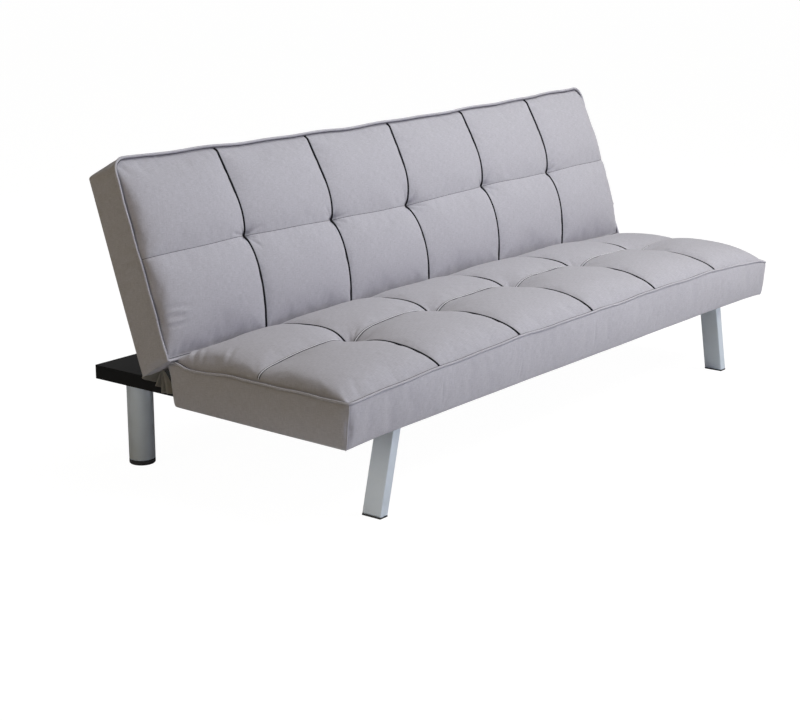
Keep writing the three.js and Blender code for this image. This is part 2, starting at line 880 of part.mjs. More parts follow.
// Coach bolt with its nut run up
function frameBolt(side) {
  const x = side * frameBoltX;
  const headTop = supportBottom - gap;
  const nutBottom = midRailTop + gap;
  return fuse([
    uprightBar(boltHeadRadius, boltHeadSides, x, midRailMiddle, headTop - boltHeadHeight, headTop),
    uprightBar(boltRadius, boltSides, x, midRailMiddle, headTop - gap, nutBottom + gap),
    uprightBar(boltHeadRadius, boltHeadSides, x, midRailMiddle, nutBottom, nutBottom + boltHeadHeight),
  ]);
}

// Front legs
function leaningOutline(inset, z0, z1) {
  const lean = Math.tan(THREE.MathUtils.degToRad(frontLegLean));
  const outer = (z) => frontLegFootX - lean * z - inset;
  const inner = (z) => frontLegFootX - lean * z - frontLegThickness + inset;
  return new THREE.Shape([
    new THREE.Vector2(inner(z0), z0),
    new THREE.Vector2(outer(z0), z0),
    new THREE.Vector2(outer(z1), z1),
    new THREE.Vector2(inner(z1), z1),
  ]);
}

// The leg's tube is welded to the plate that screws it to the leg board
function frontLeg(side) {
  const rear = frontLegFront + frontLegWidth;
  const tube = leaningOutline(0, footPadThickness + gap, legPlateBottom + gap);
  const outside = frontPlate(tube, frontLegFront, rear);
  const inside = frontPlate(
    leaningOutline(frontLegWall, -overrun, legPlateBottom - frontLegWall),
    frontLegFront + frontLegWall,
    rear - frontLegWall,
  );
  const [x0, x1] = frontPlateSpan();
  const middle = frontLegFront + frontLegWidth / 2;
  const half = frontPlateWidth / 2;
  const top = legPlateBottom + legPlateThickness;
  const plate = block(x0, x1, middle - half, middle + half, legPlateBottom, top);
  const holes = legScrewPlaces().map(([x, y]) => (
    uprightBar(screwHoleRadius, screwSides, x, y, legPlateBottom - overrun, top + overrun)
  ));
  return mirrored(carve(fuse([outside, plate]), [inside, ...holes]), side);
}

function frontFoot(side) {
  const rear = frontLegFront + frontLegWidth;
  const inset = frontLegWall + gap;
  const pad = frontPlate(leaningOutline(0, 0, footPadThickness), frontLegFront, rear);
  const stem = frontPlate(
    leaningOutline(inset, footPadThickness - gap, footPadThickness + footStem),
    frontLegFront + inset,
    rear - inset,
  );
  return mirrored(fuse([pad, stem]), side);
}

function legScrew(side, k) {
  const [x, y] = legScrewPlaces()[k];
  const headTop = legPlateBottom - gap;
  return fuse([
    uprightBar(screwHeadRadius, screwSides, side * x, y, headTop - screwHeadHeight, headTop),
    uprightBar(screwRadius, screwSides, side * x, y, headTop - gap, frameBottom + screwLength),
  ]);
}

// Rear legs
function rearLeg(side) {
  const top = supportBottom - gap;
  const bottom = rearFootHeight + gap;
  const bore = rearLegRadius - rearLegWall;
  const profile = [
    [boltHoleRadius, top],
    [boltHoleRadius, top - rearLegPlate],
    [bore, top - rearLegPlate],
    [bore, bottom],
    [rearLegRadius, bottom],
    [rearLegRadius, top],
    [boltHoleRadius, top],
  ];
  return upright(profile, rearLegSegments, side * rearLegX, rearLegY);
}

function rearFoot(side) {
  const stem = rearLegRadius - rearLegWall - gap;
  const profile = [
    [0, 0],
    [rearLegRadius - rearFootChamfer, 0],
    [rearLegRadius, rearFootChamfer],
    [rearLegRadius, rearFootHeight],
    [stem, rearFootHeight],
    [stem, rearFootHeight + footStem],
    [0, rearFootHeight + footStem],
  ];
  return upright(profile, rearLegSegments, side * rearLegX, rearLegY);
}

function rearLegBolt(side) {
  const seat = supportBottom - gap - rearLegPlate - gap;
  const x = side * rearLegX;
  return fuse([
    uprightBar(boltHeadRadius, boltHeadSides, x, rearLegY, seat - boltHeadHeight, seat),
    uprightBar(boltRadius, boltSides, x, rearLegY, seat - gap, supportBottom + legBoltLength),
  ]);
}

// Hinges. Outlines are the tangent hull of a round eye and a straight plate.
function eyePoints(y, z, radius) {
  return Array.from({ length: hingeSegments }, (_, k) => {
    const angle = (2 * Math.PI * k) / hingeSegments;
    return [y + radius * Math.cos(angle), z + radius * Math.sin(angle)];
  });
}

function hullShape(points) {
  const sorted = [...points].sort((a, b) => a[0] - b[0] || a[1] - b[1]);
  const turn = (o, a, b) => (a[0] - o[0]) * (b[1] - o[1]) - (a[1] - o[1]) * (b[0] - o[0]);
  const chain = (list) => {
    const kept = [];
    list.forEach((point) => {
      while (kept.length > 1 && turn(kept[kept.length - 2], kept[kept.length - 1], point) <= 0) kept.pop();
      kept.push(point);
    });
    return kept.slice(0, -1);
  };
  const outline = [...chain(sorted), ...chain([...sorted].reverse())];
  return new THREE.Shape(outline.map(([a, b]) => new THREE.Vector2(a, b)));
}

// The seat's arm is a straight plate with a neck up to the pivot and a boss for the pawl's pin
function seatArm(side) {
  const pin = pawlPinPlace();
  const strap = hullShape([
    [seatArmFront, seatArmBottom],
    [seatArmFront, seatArmTop],
    [seatArmRear, seatArmBottom],
    [seatArmRear, seatArmTop],
  ]);
  const neck = hullShape([
    [seatArmRear - hubRadius, seatArmBottom],
    [seatArmRear, seatArmTop],
    ...eyePoints(pin[0], pin[1], pawlBossRadius),
    ...eyePoints(pivotDepth, pivotHeight, eyeRadius),
  ]);
  const studs = seatArmStudPlaces().map(([y, z]) => (
    crossBar(studRadius, screwSides, seatArmInner + gap, sideRailInner + studLength, y, z)
  ));
  const x = [seatArmInner - overrun, seatArmOuter + overrun];
  const holes = [
    crossBar(pivotRadius + holeClearance, boltSides, x[0], x[1], pivotDepth, pivotHeight),
    crossBar(pawlPinRadius + holeClearance, boltSides, x[0], x[1], pin[0], pin[1]),
  ];
  const plates = [strap, neck].map((shape) => sidePlate(shape, seatArmInner, seatArmOuter));
  return mirrored(carve(fuse([...plates, ...studs]), holes), side);
}

// The back's arm is drawn in the back's own frame, its teeth in the sofa's frame and turned to match
function toothShape([from, to]) {
  const [y, z] = pivotInBack();
  const turn = 90 - backRecline;
  const ring = Array.from({ length: toothSteps + 1 }, (_, k) => {
    const angle = THREE.MathUtils.degToRad(from + ((to - from) * k) / toothSteps - turn);
    return [y + toothRadius * Math.cos(angle), z + toothRadius * Math.sin(angle)];
  });
  return hullShape([[y, z], ...ring]);
}

function backArmStudPlaces() {
  const first = bottomRailFoot + backRailWidth + studInset;
  const last = backArmTop - studInset;
  const middle = (backArmNear + backArmFar) / 2;
  return [first, last].map((y) => [y, middle]);
}

function backArm(side) {
  const [y, z] = pivotInBack();
  const strap = hullShape([
    [backArmFoot, backArmNear],
    [backArmFoot, backArmFar],
    [backArmTop, backArmNear],
    [backArmTop, backArmFar],
  ]);
  const neck = hullShape([
    [backArmFoot, backArmNear],
    [backArmFoot, backArmFar],
    [backArmFoot + hubRadius, (backArmNear + backArmFar) / 2],
    ...eyePoints(y, z, hubRadius),
  ]);
  const outlines = [strap, neck, ...toothAngles.map(toothShape)];
  const plates = outlines.map((outline) => sidePlate(outline, backArmInner, backArmOuter));
  const studs = backArmStudPlaces().map(([a, b]) => (
    crossBar(studRadius, screwSides, backArmInner + gap, seatArmInner + studLength, a, b)
  ));
  const x = [backArmInner - overrun, backArmOuter + overrun];
  const hole = crossBar(pivotRadius + holeClearance, boltSides, x[0], x[1], y, z);
  return mirrored(carve(fuse([...plates, ...studs]), [hole]), side);
}

// The pivot bolt with its nut run up
function pivotBolt(side) {
  const headEnd = backArmInner - gap;
  const nutStart = seatArmOuter + gap;
  const nutEnd = nutStart + pivotNutHeight;
  return mirrored(fuse([
    crossBar(pivotHeadRadius, boltHeadSides, headEnd - pivotHeadHeight, headEnd, pivotDepth, pivotHeight),
    crossBar(pivotRadius, boltSides, headEnd - gap, nutStart + gap, pivotDepth, pivotHeight),
    crossBar(pivotHeadRadius, boltHeadSides, nutStart, nutEnd, pivotDepth, pivotHeight),
  ]), side);
}

// A place measured from the pivot: outwards towards the pawl's tip, and sideways towards its pin
function fromPivot(outwards, sideways) {
  const angle = THREE.MathUtils.degToRad(pawlAngle);
  return [
    pivotDepth + outwards * Math.cos(angle) + sideways * Math.sin(angle),
    pivotHeight + outwards * Math.sin(angle) - sideways * Math.cos(angle),
  ];
}

const pawlReach = toothRadius + pawlClearance;

function pawlPinPlace() {
  return fromPivot(pawlReach, pawlLength);
}

// The pawl is drawn lifted: its tip stands clear of the teeth
function pawl(side) {
  const pin = pawlPinPlace();
  const root = [
    fromPivot(pawlReach + pawlTipLength, -pawlNeckHalfWidth),
    fromPivot(pawlReach + pawlTipLength, pawlNeckHalfWidth),
  ];
  const tip = hullShape([
    fromPivot(pawlReach, -pawlTipHalfWidth),
    fromPivot(pawlReach, pawlTipHalfWidth),
    ...root,
  ]);
  const lever = hullShape([
    ...eyePoints(pin[0], pin[1], pawlHubRadius),
    fromPivot(pawlReach + pawlTipRoot, -pawlTipHalfWidth),
    fromPivot(pawlReach + pawlTipRoot, pawlTipHalfWidth),
    ...root,
  ]);
  const plates = [tip, lever].map((outline) => sidePlate(outline, backArmInner, backArmOuter));
  const x = [backArmInner - overrun, backArmOuter + overrun];
  const hole = crossBar(pawlPinRadius + holeClearance, boltSides, x[0], x[1], pin[0], pin[1]);
  return mirrored(carve(fuse(plates), [hole]), side);
}

function pawlPin(side) {
  const [y, z] = pawlPinPlace();
  const coil = (pawlSpringTurns + 1) * pawlSpringPitch + pawlSpringWire;
  const headEnd = backArmInner - gap - coil;
  return mirrored(fuse([
    crossBar(pawlHubRadius, boltSides, headEnd - pawlPinHeadHeight, headEnd, y, z),
    crossBar(pawlPinRadius, boltSides, headEnd - gap, seatArmOuter, y, z),
  ]), side);
}

// Coil spring round the pawl's pin, with a leg towards the pawl's tip and a shorter one the other way
function pawlSpring(side) {
  const [y, z] = pawlPinPlace();
  const start = backArmInner - gap - pawlSpringWire;
  const steps = pawlSpringTurns * pawlSpringSteps + pawlSpringSteps / 2;
  const points = [];
  for (let k = 0; k <= steps; k += 1) {
    const angle = (-2 * Math.PI * k) / pawlSpringSteps - Math.PI / 2;
    points.push(new THREE.Vector3(
      start - (pawlSpringPitch * k) / pawlSpringSteps,
      y + pawlSpringCoil * Math.cos(angle),
      z + pawlSpringCoil * Math.sin(angle),
    ));
  }
  const first = points[0];
  const last = points[points.length - 1];
  points.unshift(new THREE.Vector3(first.x, first.y + pawlSpringLeg, first.z));
  points.push(new THREE.Vector3(last.x, last.y + pawlSpringLeg / 2, last.z));
  const wire = sweepTube(points, pawlSpringWire / 2, weltSides - 1, false, new THREE.Vector3(1, 0, 0));
  return mirrored(wire, side);
}

// Back frame, drawn lying flat and face up
function backSideRail(side) {
  const inner = seatArmInner;
  const rail = block(inner, inner + backRailWidth, backRailFoot, backRailTop, backRailBack, backRailFront);
  const holes = backArmStudPlaces().map(([y, z]) => (
    crossBar(studHoleRadius, screwSides, inner - overrun, inner + studLength + gap, y, z)
  ));
  return mirrored(carve(rail, holes), side);
}

function backCrossRail(foot) {
  const half = backArmInner - gap;
  return block(-half, half, foot, foot + backRailWidth, backRailBack, backRailFront);
}

function backStile(side) {
  const foot = bottomRailFoot + backRailWidth + gap;
  const top = backRailTop - backRailWidth - gap;
  const middle = side * stileOffset;
  const half = backRailWidth / 2;
  return block(middle - half, middle + half, foot, top, backRailBack, backRailFront);
}

// Elastic straps, sewn together where they cross
function backWebbing() {
  const half = webbingWidth / 2;
  const low = backRailFront + gap;
  const high = low + webbingThickness;
  const uprights = springColumns().map((x) => (
    block(x - half, x + half, bottomRailFoot + gap, backRailTop - gap, low, high)
  ));
  const end = seatArmInner + backRailWidth - half;
  const rows = webbingRowShares.map((share) => {
    const y = backRailTop * share;
    return block(-end, end, y - half, y + half, low, high);
  });
  return fuse([...uprights, ...rows]);
}

function backFoam() {
  const half = backLiningHalf - foamMargin;
  const low = backRailFront + gap + webbingThickness + gap;
  return block(-half, half, foamFoot, foamTop, low, backCeiling - gap);
}

function backRearPanel() {
  const outline = rimPlaces(backForm).map(([across, along]) => {
    const [x, y] = outlinePlace(backForm, levelOf(backForm, 'hem'), across, along);
    return new THREE.Vector2(x, y);
  });
  const panel = new THREE.ExtrudeGeometry(new THREE.Shape(outline), {
    depth: backPanelThickness,
    bevelEnabled: false,
  });
  return panel.translate(0, 0, -backThickness);
}

// Materials
const cloth = () => new THREE.MeshStandardMaterial({ color: '#a9a7ae', roughness: 0.95, metalness: 0 });
const blackCloth = () => new THREE.MeshStandardMaterial({ color: '#141616', roughness: 0.9, metalness: 0 });
const timber = () => new THREE.MeshStandardMaterial({ color: '#c9a877', roughness: 0.8, metalness: 0 });
const foam = () => new THREE.MeshStandardMaterial({ color: '#e6dfc8', roughness: 1, metalness: 0 });
const felt = () => new THREE.MeshStandardMaterial({ color: '#6d6a66', roughness: 1, metalness: 0 });
const legPaint = () => new THREE.MeshStandardMaterial({ color: '#a7aeb4', roughness: 0.45, metalness: 0.3 });
const zinc = () => new THREE.MeshStandardMaterial({ color: '#b9bcc0', roughness: 0.35, metalness: 1 });
const plastic = () => new THREE.MeshStandardMaterial({ color: '#1b1b1c', roughness: 0.6, metalness: 0 });

function piece(name, geometry, material) {
  const shape = plain(geometry);
  shape.computeVertexNormals();
  const mesh = new THREE.Mesh(shape, material);
  mesh.name = name;
  return mesh;
}

function eachSide(name, make, material) {
  return [
    piece(name.replace('SIDE', 'left'), make(-1), material()),
    piece(name.replace('SIDE', 'right'), make(1), material()),
  ];
}

function seat() {
  const group = new THREE.Group();
  group.add(
    piece('seat_cover', carve(quiltedShell(seatForm), seatCoverCutters()), cloth()),
    piece('seat_piping', welt(seatForm, false), cloth()),
    piece('seat_foam', seatFoam(), foam()),
    piece('seat_felt_pad', feltPad(), felt()),
    piece('seat_springs', springDeck(), zinc()),
    piece('seat_front_spring_strip', springStrip(springEnds().first, -1), zinc()),
    piece('seat_rear_spring_strip', springStrip(springEnds().last, 1), zinc()),
    piece('seat_front_rail', frontRail(), timber()),
    piece('seat_leg_board', legBoard(), timber()),
    piece('seat_mid_rail', midRail(), timber()),
    piece('seat_rear_rail', rearRail(), timber()),
    piece('seat_dust_cover', dustCover(), blackCloth()),
    ...eachSide('seat_SIDE_rail', sideRail, timber),
  );
  return group;
}

function support() {
  const group = new THREE.Group();
  group.add(
    ...eachSide('support_SIDE_runner', runner, blackCloth),
    piece('support_cross_rail', supportRail(crossRailFront), blackCloth()),
    piece('support_rear_rail', supportRail(overallDepth - supportRailWidth), blackCloth()),
    piece('support_deck', deck(), blackCloth()),
    ...eachSide('SIDE_frame_bolt', frameBolt, zinc),
  );
  return group;
}

function legs() {
  const group = new THREE.Group();
  group.add(
    ...eachSide('front_SIDE_leg', frontLeg, legPaint),
    ...eachSide('front_SIDE_foot', frontFoot, plastic),
    ...eachSide('front_SIDE_leg_inner_screw', (side) => legScrew(side, 0), zinc),
    ...eachSide('front_SIDE_leg_outer_screw', (side) => legScrew(side, 1), zinc),
    ...eachSide('rear_SIDE_leg', rearLeg, legPaint),
    ...eachSide('rear_SIDE_foot', rearFoot, plastic),
    ...eachSide('rear_SIDE_leg_bolt', rearLegBolt, zinc),
  );
  return group;
}

function hinges() {
  const group = new THREE.Group();
  group.add(
    ...eachSide('SIDE_seat_arm', seatArm, zinc),
    ...eachSide('SIDE_pivot_bolt', pivotBolt, zinc),
    ...eachSide('SIDE_pawl', pawl, zinc),
    ...eachSide('SIDE_pawl_pin', pawlPin, zinc),
    ...eachSide('SIDE_pawl_spring', pawlSpring, zinc),
  );
  return group;
}

function backRest() {
  const group = new THREE.Group();
  group.add(
    piece('back_cover', carve(quiltedShell(backForm), backCoverCutters()), cloth()),
    piece('back_piping', welt(backForm, true), cloth()),
    piece('back_rear_panel', backRearPanel(), cloth()),
    piece('back_foam', backFoam(), foam()),
    piece('back_webbing', backWebbing(), blackCloth()),
    piece('back_top_rail', backCrossRail(backRailTop - backRailWidth), timber()),
    piece('back_bottom_rail', backCrossRail(bottomRailFoot), timber()),
    ...eachSide('back_SIDE_stile', backStile, timber),
    ...eachSide('back_SIDE_rail', backSideRail, timber),
    ...eachSide('SIDE_back_arm', backArm, zinc),
  );
  group.position.set(0, backFootDepth, backFootHeight);
  group.rotation.x = Math.PI / 2 - THREE.MathUtils.degToRad(backRecline);
  return group;
}

const sofaBed = new THREE.Group();
sofaBed.add(seat(), support(), legs(), hinges(), backRest());
sofaBed.position.y = -overallDepth / 2;

export default sofaBed;
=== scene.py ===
# %% [markdown]
# # A click clack sofa bed
# A click clack sofa bed is a flat seat pad and a flat back pad on a frame of timber, with a ratchet hinge at
# each end. Its frame, springs, legs and hinges come ready made, at their real size. This lesson gives them
# their finishes, and sews the two tufted cushions, their welts, their seams and the cloth underneath.

# %% Load the frame
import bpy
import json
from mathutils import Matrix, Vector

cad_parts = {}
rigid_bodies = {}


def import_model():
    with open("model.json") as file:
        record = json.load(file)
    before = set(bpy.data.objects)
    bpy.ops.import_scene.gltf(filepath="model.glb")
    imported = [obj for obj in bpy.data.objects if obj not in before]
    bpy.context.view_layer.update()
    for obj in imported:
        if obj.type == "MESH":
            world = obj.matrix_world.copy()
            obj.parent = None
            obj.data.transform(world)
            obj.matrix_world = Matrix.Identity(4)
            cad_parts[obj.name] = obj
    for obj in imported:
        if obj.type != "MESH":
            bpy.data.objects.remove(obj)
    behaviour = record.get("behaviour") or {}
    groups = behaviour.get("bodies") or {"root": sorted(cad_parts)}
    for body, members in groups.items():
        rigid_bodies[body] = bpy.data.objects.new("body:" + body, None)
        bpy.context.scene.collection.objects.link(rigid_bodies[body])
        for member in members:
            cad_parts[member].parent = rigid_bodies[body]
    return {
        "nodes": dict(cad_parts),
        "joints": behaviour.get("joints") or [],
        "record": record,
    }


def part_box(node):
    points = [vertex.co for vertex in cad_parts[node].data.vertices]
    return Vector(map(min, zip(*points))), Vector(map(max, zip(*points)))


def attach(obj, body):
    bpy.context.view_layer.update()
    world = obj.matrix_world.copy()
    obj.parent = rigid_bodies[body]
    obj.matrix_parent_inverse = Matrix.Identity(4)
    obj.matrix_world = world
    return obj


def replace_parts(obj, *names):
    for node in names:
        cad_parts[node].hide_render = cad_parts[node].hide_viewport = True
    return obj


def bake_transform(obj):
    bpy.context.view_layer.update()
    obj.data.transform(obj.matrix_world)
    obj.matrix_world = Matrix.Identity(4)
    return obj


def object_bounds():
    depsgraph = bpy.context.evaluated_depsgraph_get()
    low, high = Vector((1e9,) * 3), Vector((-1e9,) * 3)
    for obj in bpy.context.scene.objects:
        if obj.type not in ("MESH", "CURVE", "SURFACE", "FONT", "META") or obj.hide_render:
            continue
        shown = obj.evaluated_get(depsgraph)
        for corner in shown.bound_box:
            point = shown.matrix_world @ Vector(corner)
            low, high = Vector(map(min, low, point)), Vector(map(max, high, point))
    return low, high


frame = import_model()
cad_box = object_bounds()
import json
import math

import bpy
import numpy as np
from mathutils import Matrix, Vector

MM = 0.001
nodes = frame["nodes"]

# %% [markdown]
# ## Where things are
# The seat is drawn level. The back is drawn lying flat too, in a frame of its own, and one matrix then leans
# it. The angle comes from the hinge: at the lower end of its range the back lies level.

# %% Places taken from the frame
BACK_FOOT = (0, 0.086, 0.301)

hinge = next(joint for joint in frame["joints"] if joint["name"] == "back_fold")
lean = -math.radians(hinge["range_deg"][0])
middle_depth = (cad_box[1].y - cad_box[0].y) / 2
seat_place = Matrix.Translation((0, -middle_depth, 0))
back_place = Matrix.Translation(BACK_FOOT) @ Matrix.Rotation(lean, 4, "X")
lean_degrees = round(math.degrees(lean), 1)
print("back drawn at", [round(v, 3) for v in back_place.translation], "turned", lean_degrees, "degrees")

# %% [markdown]
# ## Shader maths
# A small class wraps the output of a shader node, so that a pattern can be written as an ordinary sum. Each
# operator adds one Math node. Colours go through a Mix node instead, because a Math node would turn them
# grey.


# %% A socket that can be added and multiplied
class Value:
    def __init__(self, tree, socket):
        self.tree = tree
        self.socket = socket

    def math(self, operation, *others):
        return node(self.tree, "ShaderNodeMath", {"operation": operation}, [self, *others])

    def __add__(self, other):
        return self.math("ADD", other)

    def __sub__(self, other):
        return self.math("SUBTRACT", other)

    def __mul__(self, other):
        return self.math("MULTIPLY", other)

    def __truediv__(self, other):
        return self.math("DIVIDE", other)


def feed(tree, value, socket):
    """Links a value to a socket, or sets the socket to a plain number or colour."""
    if isinstance(value, Value):
        tree.links.new(value.socket, socket)
    else:
        socket.default_value = value


def node(tree, kind, settings, inputs):
    """Adds a node: its settings first, then its sockets. Returns its first output."""
    made = tree.nodes.new(kind)
    for name, value in settings.items():
        setattr(made, name, value)
    pairs = inputs.items() if isinstance(inputs, dict) else enumerate(inputs)
    for name, value in pairs:
        feed(tree, value, made.inputs[name])
    return Value(tree, made.outputs[0])


MIX_SHARE, MIX_FIRST, MIX_SECOND, MIX_RESULT = 0, 6, 7, 2


def mix_colours(tree, share, first, second):
    """A colour between two colours. The Mix node has sockets for each kind of data, so these go by number."""
    made = tree.nodes.new("ShaderNodeMix")
    made.data_type = "RGBA"
    for number, value in ((MIX_SHARE, share), (MIX_FIRST, first), (MIX_SECOND, second)):
        feed(tree, value, made.inputs[number])
    return Value(tree, made.outputs[MIX_RESULT])


# %% [markdown]
# ## Colours
# Colours are written as they look on a screen, from 0 to 255, and turned into the linear values that a
# shader wants.


# %% From screen colour to linear colour
def linear(red, green, blue):
    """Undoes the curve of an sRGB screen, with the numbers of that standard."""
    shares = [channel / 255 for channel in (red, green, blue)]
    return [s / 12.92 if s <= 0.04045 else ((s + 0.055) / 1.055) ** 2.4 for s in shares] + [1.0]


def shade(colour, factor):
    return [channel * factor for channel in colour[:3]] + [1.0]


def new_material(name, **constants):
    """A material with one Principled shader. What is the same all over is set on its own sockets."""
    material = bpy.data.materials.new(name)
    material.use_nodes = True
    shader = material.node_tree.nodes["Principled BSDF"]
    for socket, value in constants.items():
        shader.inputs[socket.replace("_", " ")].default_value = value
    return material, material.node_tree, shader


def plug(tree, value, shader, socket):
    tree.links.new(value.socket, shader.inputs[socket])


# %% [markdown]
# ## Woven upholstery cloth
# The sofa's cloth is a plain weave of mixed light and dark grey yarns with a slight violet cast. Close up it
# shows slubs, which are short thicker stretches of yarn, running both ways. The pattern reads a UV map in
# metres that is laid on each piece of cloth, so the yarns follow the cloth and not the room.

# %% Cloth material
YARN = 0.8 * MM
SLUB_LENGTH = 14 * MM
MOTTLE = 45 * MM
MOTTLE_SHARE = 0.06
STREAK_WIDTH = 1.3 * YARN
TONE_RANGE = (0.35, 0.65)
CROSSING_SHARE = 0.5
YARN_RELIEF = 0.25 * MM
CLOTH_FINISH = {"Roughness": 0.92, "Sheen_Roughness": 0.45, "Specular_IOR_Level": 0.2}


def woven(name, colour, contrast=0.1, relief=0.35, sheen=0.12):
    material, tree, shader = new_material(name, Sheen_Weight=sheen, **CLOTH_FINISH)
    uv = node(tree, "ShaderNodeUVMap", {"uv_map": "weave"}, [])
    parts = tree.nodes.new("ShaderNodeSeparateXYZ")
    tree.links.new(uv.socket, parts.inputs[0])
    across = Value(tree, parts.outputs[0])
    along = Value(tree, parts.outputs[1])

    def streaks(u_size, v_size):
        place = node(tree, "ShaderNodeCombineXYZ", {}, [across / u_size, along / v_size, 0.0])
        inputs = {"Vector": place, "Scale": 1.0, "Detail": 1.0}
        return node(tree, "ShaderNodeTexNoise", {"noise_dimensions": "2D"}, inputs)

    warp = streaks(STREAK_WIDTH, SLUB_LENGTH)
    weft = streaks(SLUB_LENGTH, STREAK_WIDTH)
    mottle = streaks(MOTTLE, MOTTLE)
    turn = math.pi / YARN
    crossing = (across * turn).math("SINE") * (along * turn).math("SINE")
    tone = (warp + weft) * 0.5 + (mottle - 0.5) * MOTTLE_SHARE
    stretched = node(tree, "ShaderNodeMapRange", {}, [tone, *TONE_RANGE, 0.0, 1.0])
    dark, light = shade(colour, 1 - contrast), shade(colour, 1 + contrast)
    plug(tree, mix_colours(tree, stretched, dark, light), shader, "Base Color")
    height = crossing * CROSSING_SHARE + warp + weft
    bump = node(tree, "ShaderNodeBump", {}, {"Strength": relief, "Distance": YARN_RELIEF, "Height": height})
    plug(tree, bump, shader, "Normal")
    return material


upholstery = woven("upholstery_cloth", linear(186, 184, 192))
seam_cloth = woven("dark_seam_cloth", linear(38, 37, 41), contrast=0.3, relief=0.5)
lining_cloth = woven("black_lining_cloth", linear(17, 17, 18), contrast=0.35, relief=0.2, sheen=0.0)
# The folded lip of the seat's cross seam is the cushion's own cloth, painted much lighter as a highlight on the
# raised fold.
lip_painted_highlight_cloth = woven("folded_seam_painted_highlight_cloth", linear(222, 221, 228))
# The welt is the cushion's own cloth, painted a little lighter as a highlight on its raised cord.
welt_painted_highlight_cloth = woven("welt_painted_highlight_cloth", linear(192, 190, 198))
# The gusset is the sofa's own cloth. This darker, warmer copy is painted shade for its recess under the back.
gusset_painted_shade_cloth = woven("gusset_painted_shade_cloth", linear(138, 135, 130))
# The seam thread stands partly for real stitching, but its dark grey is painted shade of the crease beside a
# welt or a seam fold.
thread_and_crease_shade_cloth = woven("seam_thread_and_crease_shade", linear(88, 86, 92), contrast=0.2, relief=0.5)
cloths = (upholstery, seam_cloth, lining_cloth, lip_painted_highlight_cloth, welt_painted_highlight_cloth, gusset_painted_shade_cloth, thread_and_crease_shade_cloth)
print("cloth materials:", [cloth.name for cloth in cloths])

# %% [markdown]
# ## Metal, plastic, timber and foam
# The legs have a silver-grey powder coat, which shows a fine orange peel. The hinges, bolts and springs are
# zinc plated, with a faint crystal pattern. These pieces are rigid, so their patterns read Object
# coordinates.


# %% Rigid and inner materials
BROAD_GRAINS = 30
ROUGHNESS_SPREAD = 0.2
GRAIN_RELIEF = 1 / 8


def object_noise(tree, size, stretch):
    """Noise in the piece's own space, with grains of the given size in metres."""
    place = Value(tree, tree.nodes.new("ShaderNodeTexCoord").outputs["Object"])
    scaled = node(tree, "ShaderNodeMapping", {}, {"Vector": place, "Scale": [1 / size / s for s in stretch]})
    return node(tree, "ShaderNodeTexNoise", {}, {"Vector": scaled, "Scale": 1.0, "Detail": 2.0})


def coated(name, colour, roughness, grain, relief, metallic=0.0, variation=0.08, stretch=(1, 1, 1)):
    """A plain finish with a fine grain in its relief, and a fine and a broad one in its colour."""
    material, tree, shader = new_material(name, Metallic=metallic)
    fine = object_noise(tree, grain, stretch)
    broad = object_noise(tree, grain * BROAD_GRAINS, stretch)
    tone = (fine + broad) * 0.5
    light = shade(colour, 1 + variation)
    dark = shade(colour, 1 - variation)
    plug(tree, mix_colours(tree, tone, dark, light), shader, "Base Color")
    plug(tree, (broad - 0.5) * ROUGHNESS_SPREAD + roughness, shader, "Roughness")
    depth = grain * GRAIN_RELIEF
    bump = node(tree, "ShaderNodeBump", {}, {"Strength": relief, "Distance": depth, "Height": fine})
    plug(tree, bump, shader, "Normal")
    return material


ALONG_X = (40, 1, 1)
powder = linear(212, 221, 232)
plating = linear(176, 178, 182)
pine = linear(205, 172, 124)
rubber = linear(38, 38, 42)
leg_paint = coated("silver_powder_coat", powder, roughness=0.4, grain=0.9 * MM, relief=0.12, metallic=0.4)
zinc = coated("zinc_plate", plating, roughness=0.38, grain=2.5 * MM, relief=0.1, metallic=1.0, variation=0.12)
black_plastic = coated("black_plastic", linear(30, 30, 32), roughness=0.55, grain=0.5 * MM, relief=0.15)
foam = coated("foam", linear(232, 224, 200), roughness=0.95, grain=1.2 * MM, relief=0.6)
felt = coated("felt", linear(104, 101, 97), roughness=0.95, grain=1.5 * MM, relief=0.7, variation=0.3)
timber = coated("planed_softwood", pine, 0.7, grain=1.2 * MM, relief=0.2, variation=0.16, stretch=ALONG_X)
webbing = coated("elastic_webbing", rubber, roughness=0.85, grain=1.5 * MM, relief=0.5, variation=0.3)

# %% Finish of every piece that comes from the frame
finish_of_slot = {
    "cloth": upholstery,
    "black_cloth": lining_cloth,
    "webbing": webbing,
    "foam": foam,
    "felt": felt,
    "timber": timber,
    "leg_paint": leg_paint,
    "zinc": zinc,
    "black_plastic": black_plastic,
}
for row in frame["record"]["subparts"]:
    mesh = nodes[row["node"]].data
    mesh.materials.clear()
    mesh.materials.append(finish_of_slot[row["material_slot"]])

# %% [markdown]
# The frame's pieces have sharp edges. On the real sofa the leg tube is bent from sheet and the caps are
# moulded, so these get a small rounding. The names of the legs' screws and bolts hold the same word, so they
# are rounded too. The frame's mesh is loose triangles: they are welded and the flat ones joined before the
# edges are rounded.

# %% Round the edges of legs and caps
ROUNDING = {"_leg": 2.2 * MM, "_foot": 0.9 * MM}
WELD_DISTANCE = 0.01 * MM
FLAT_ANGLE = math.radians(1)
EDGE_ANGLE = math.radians(40)

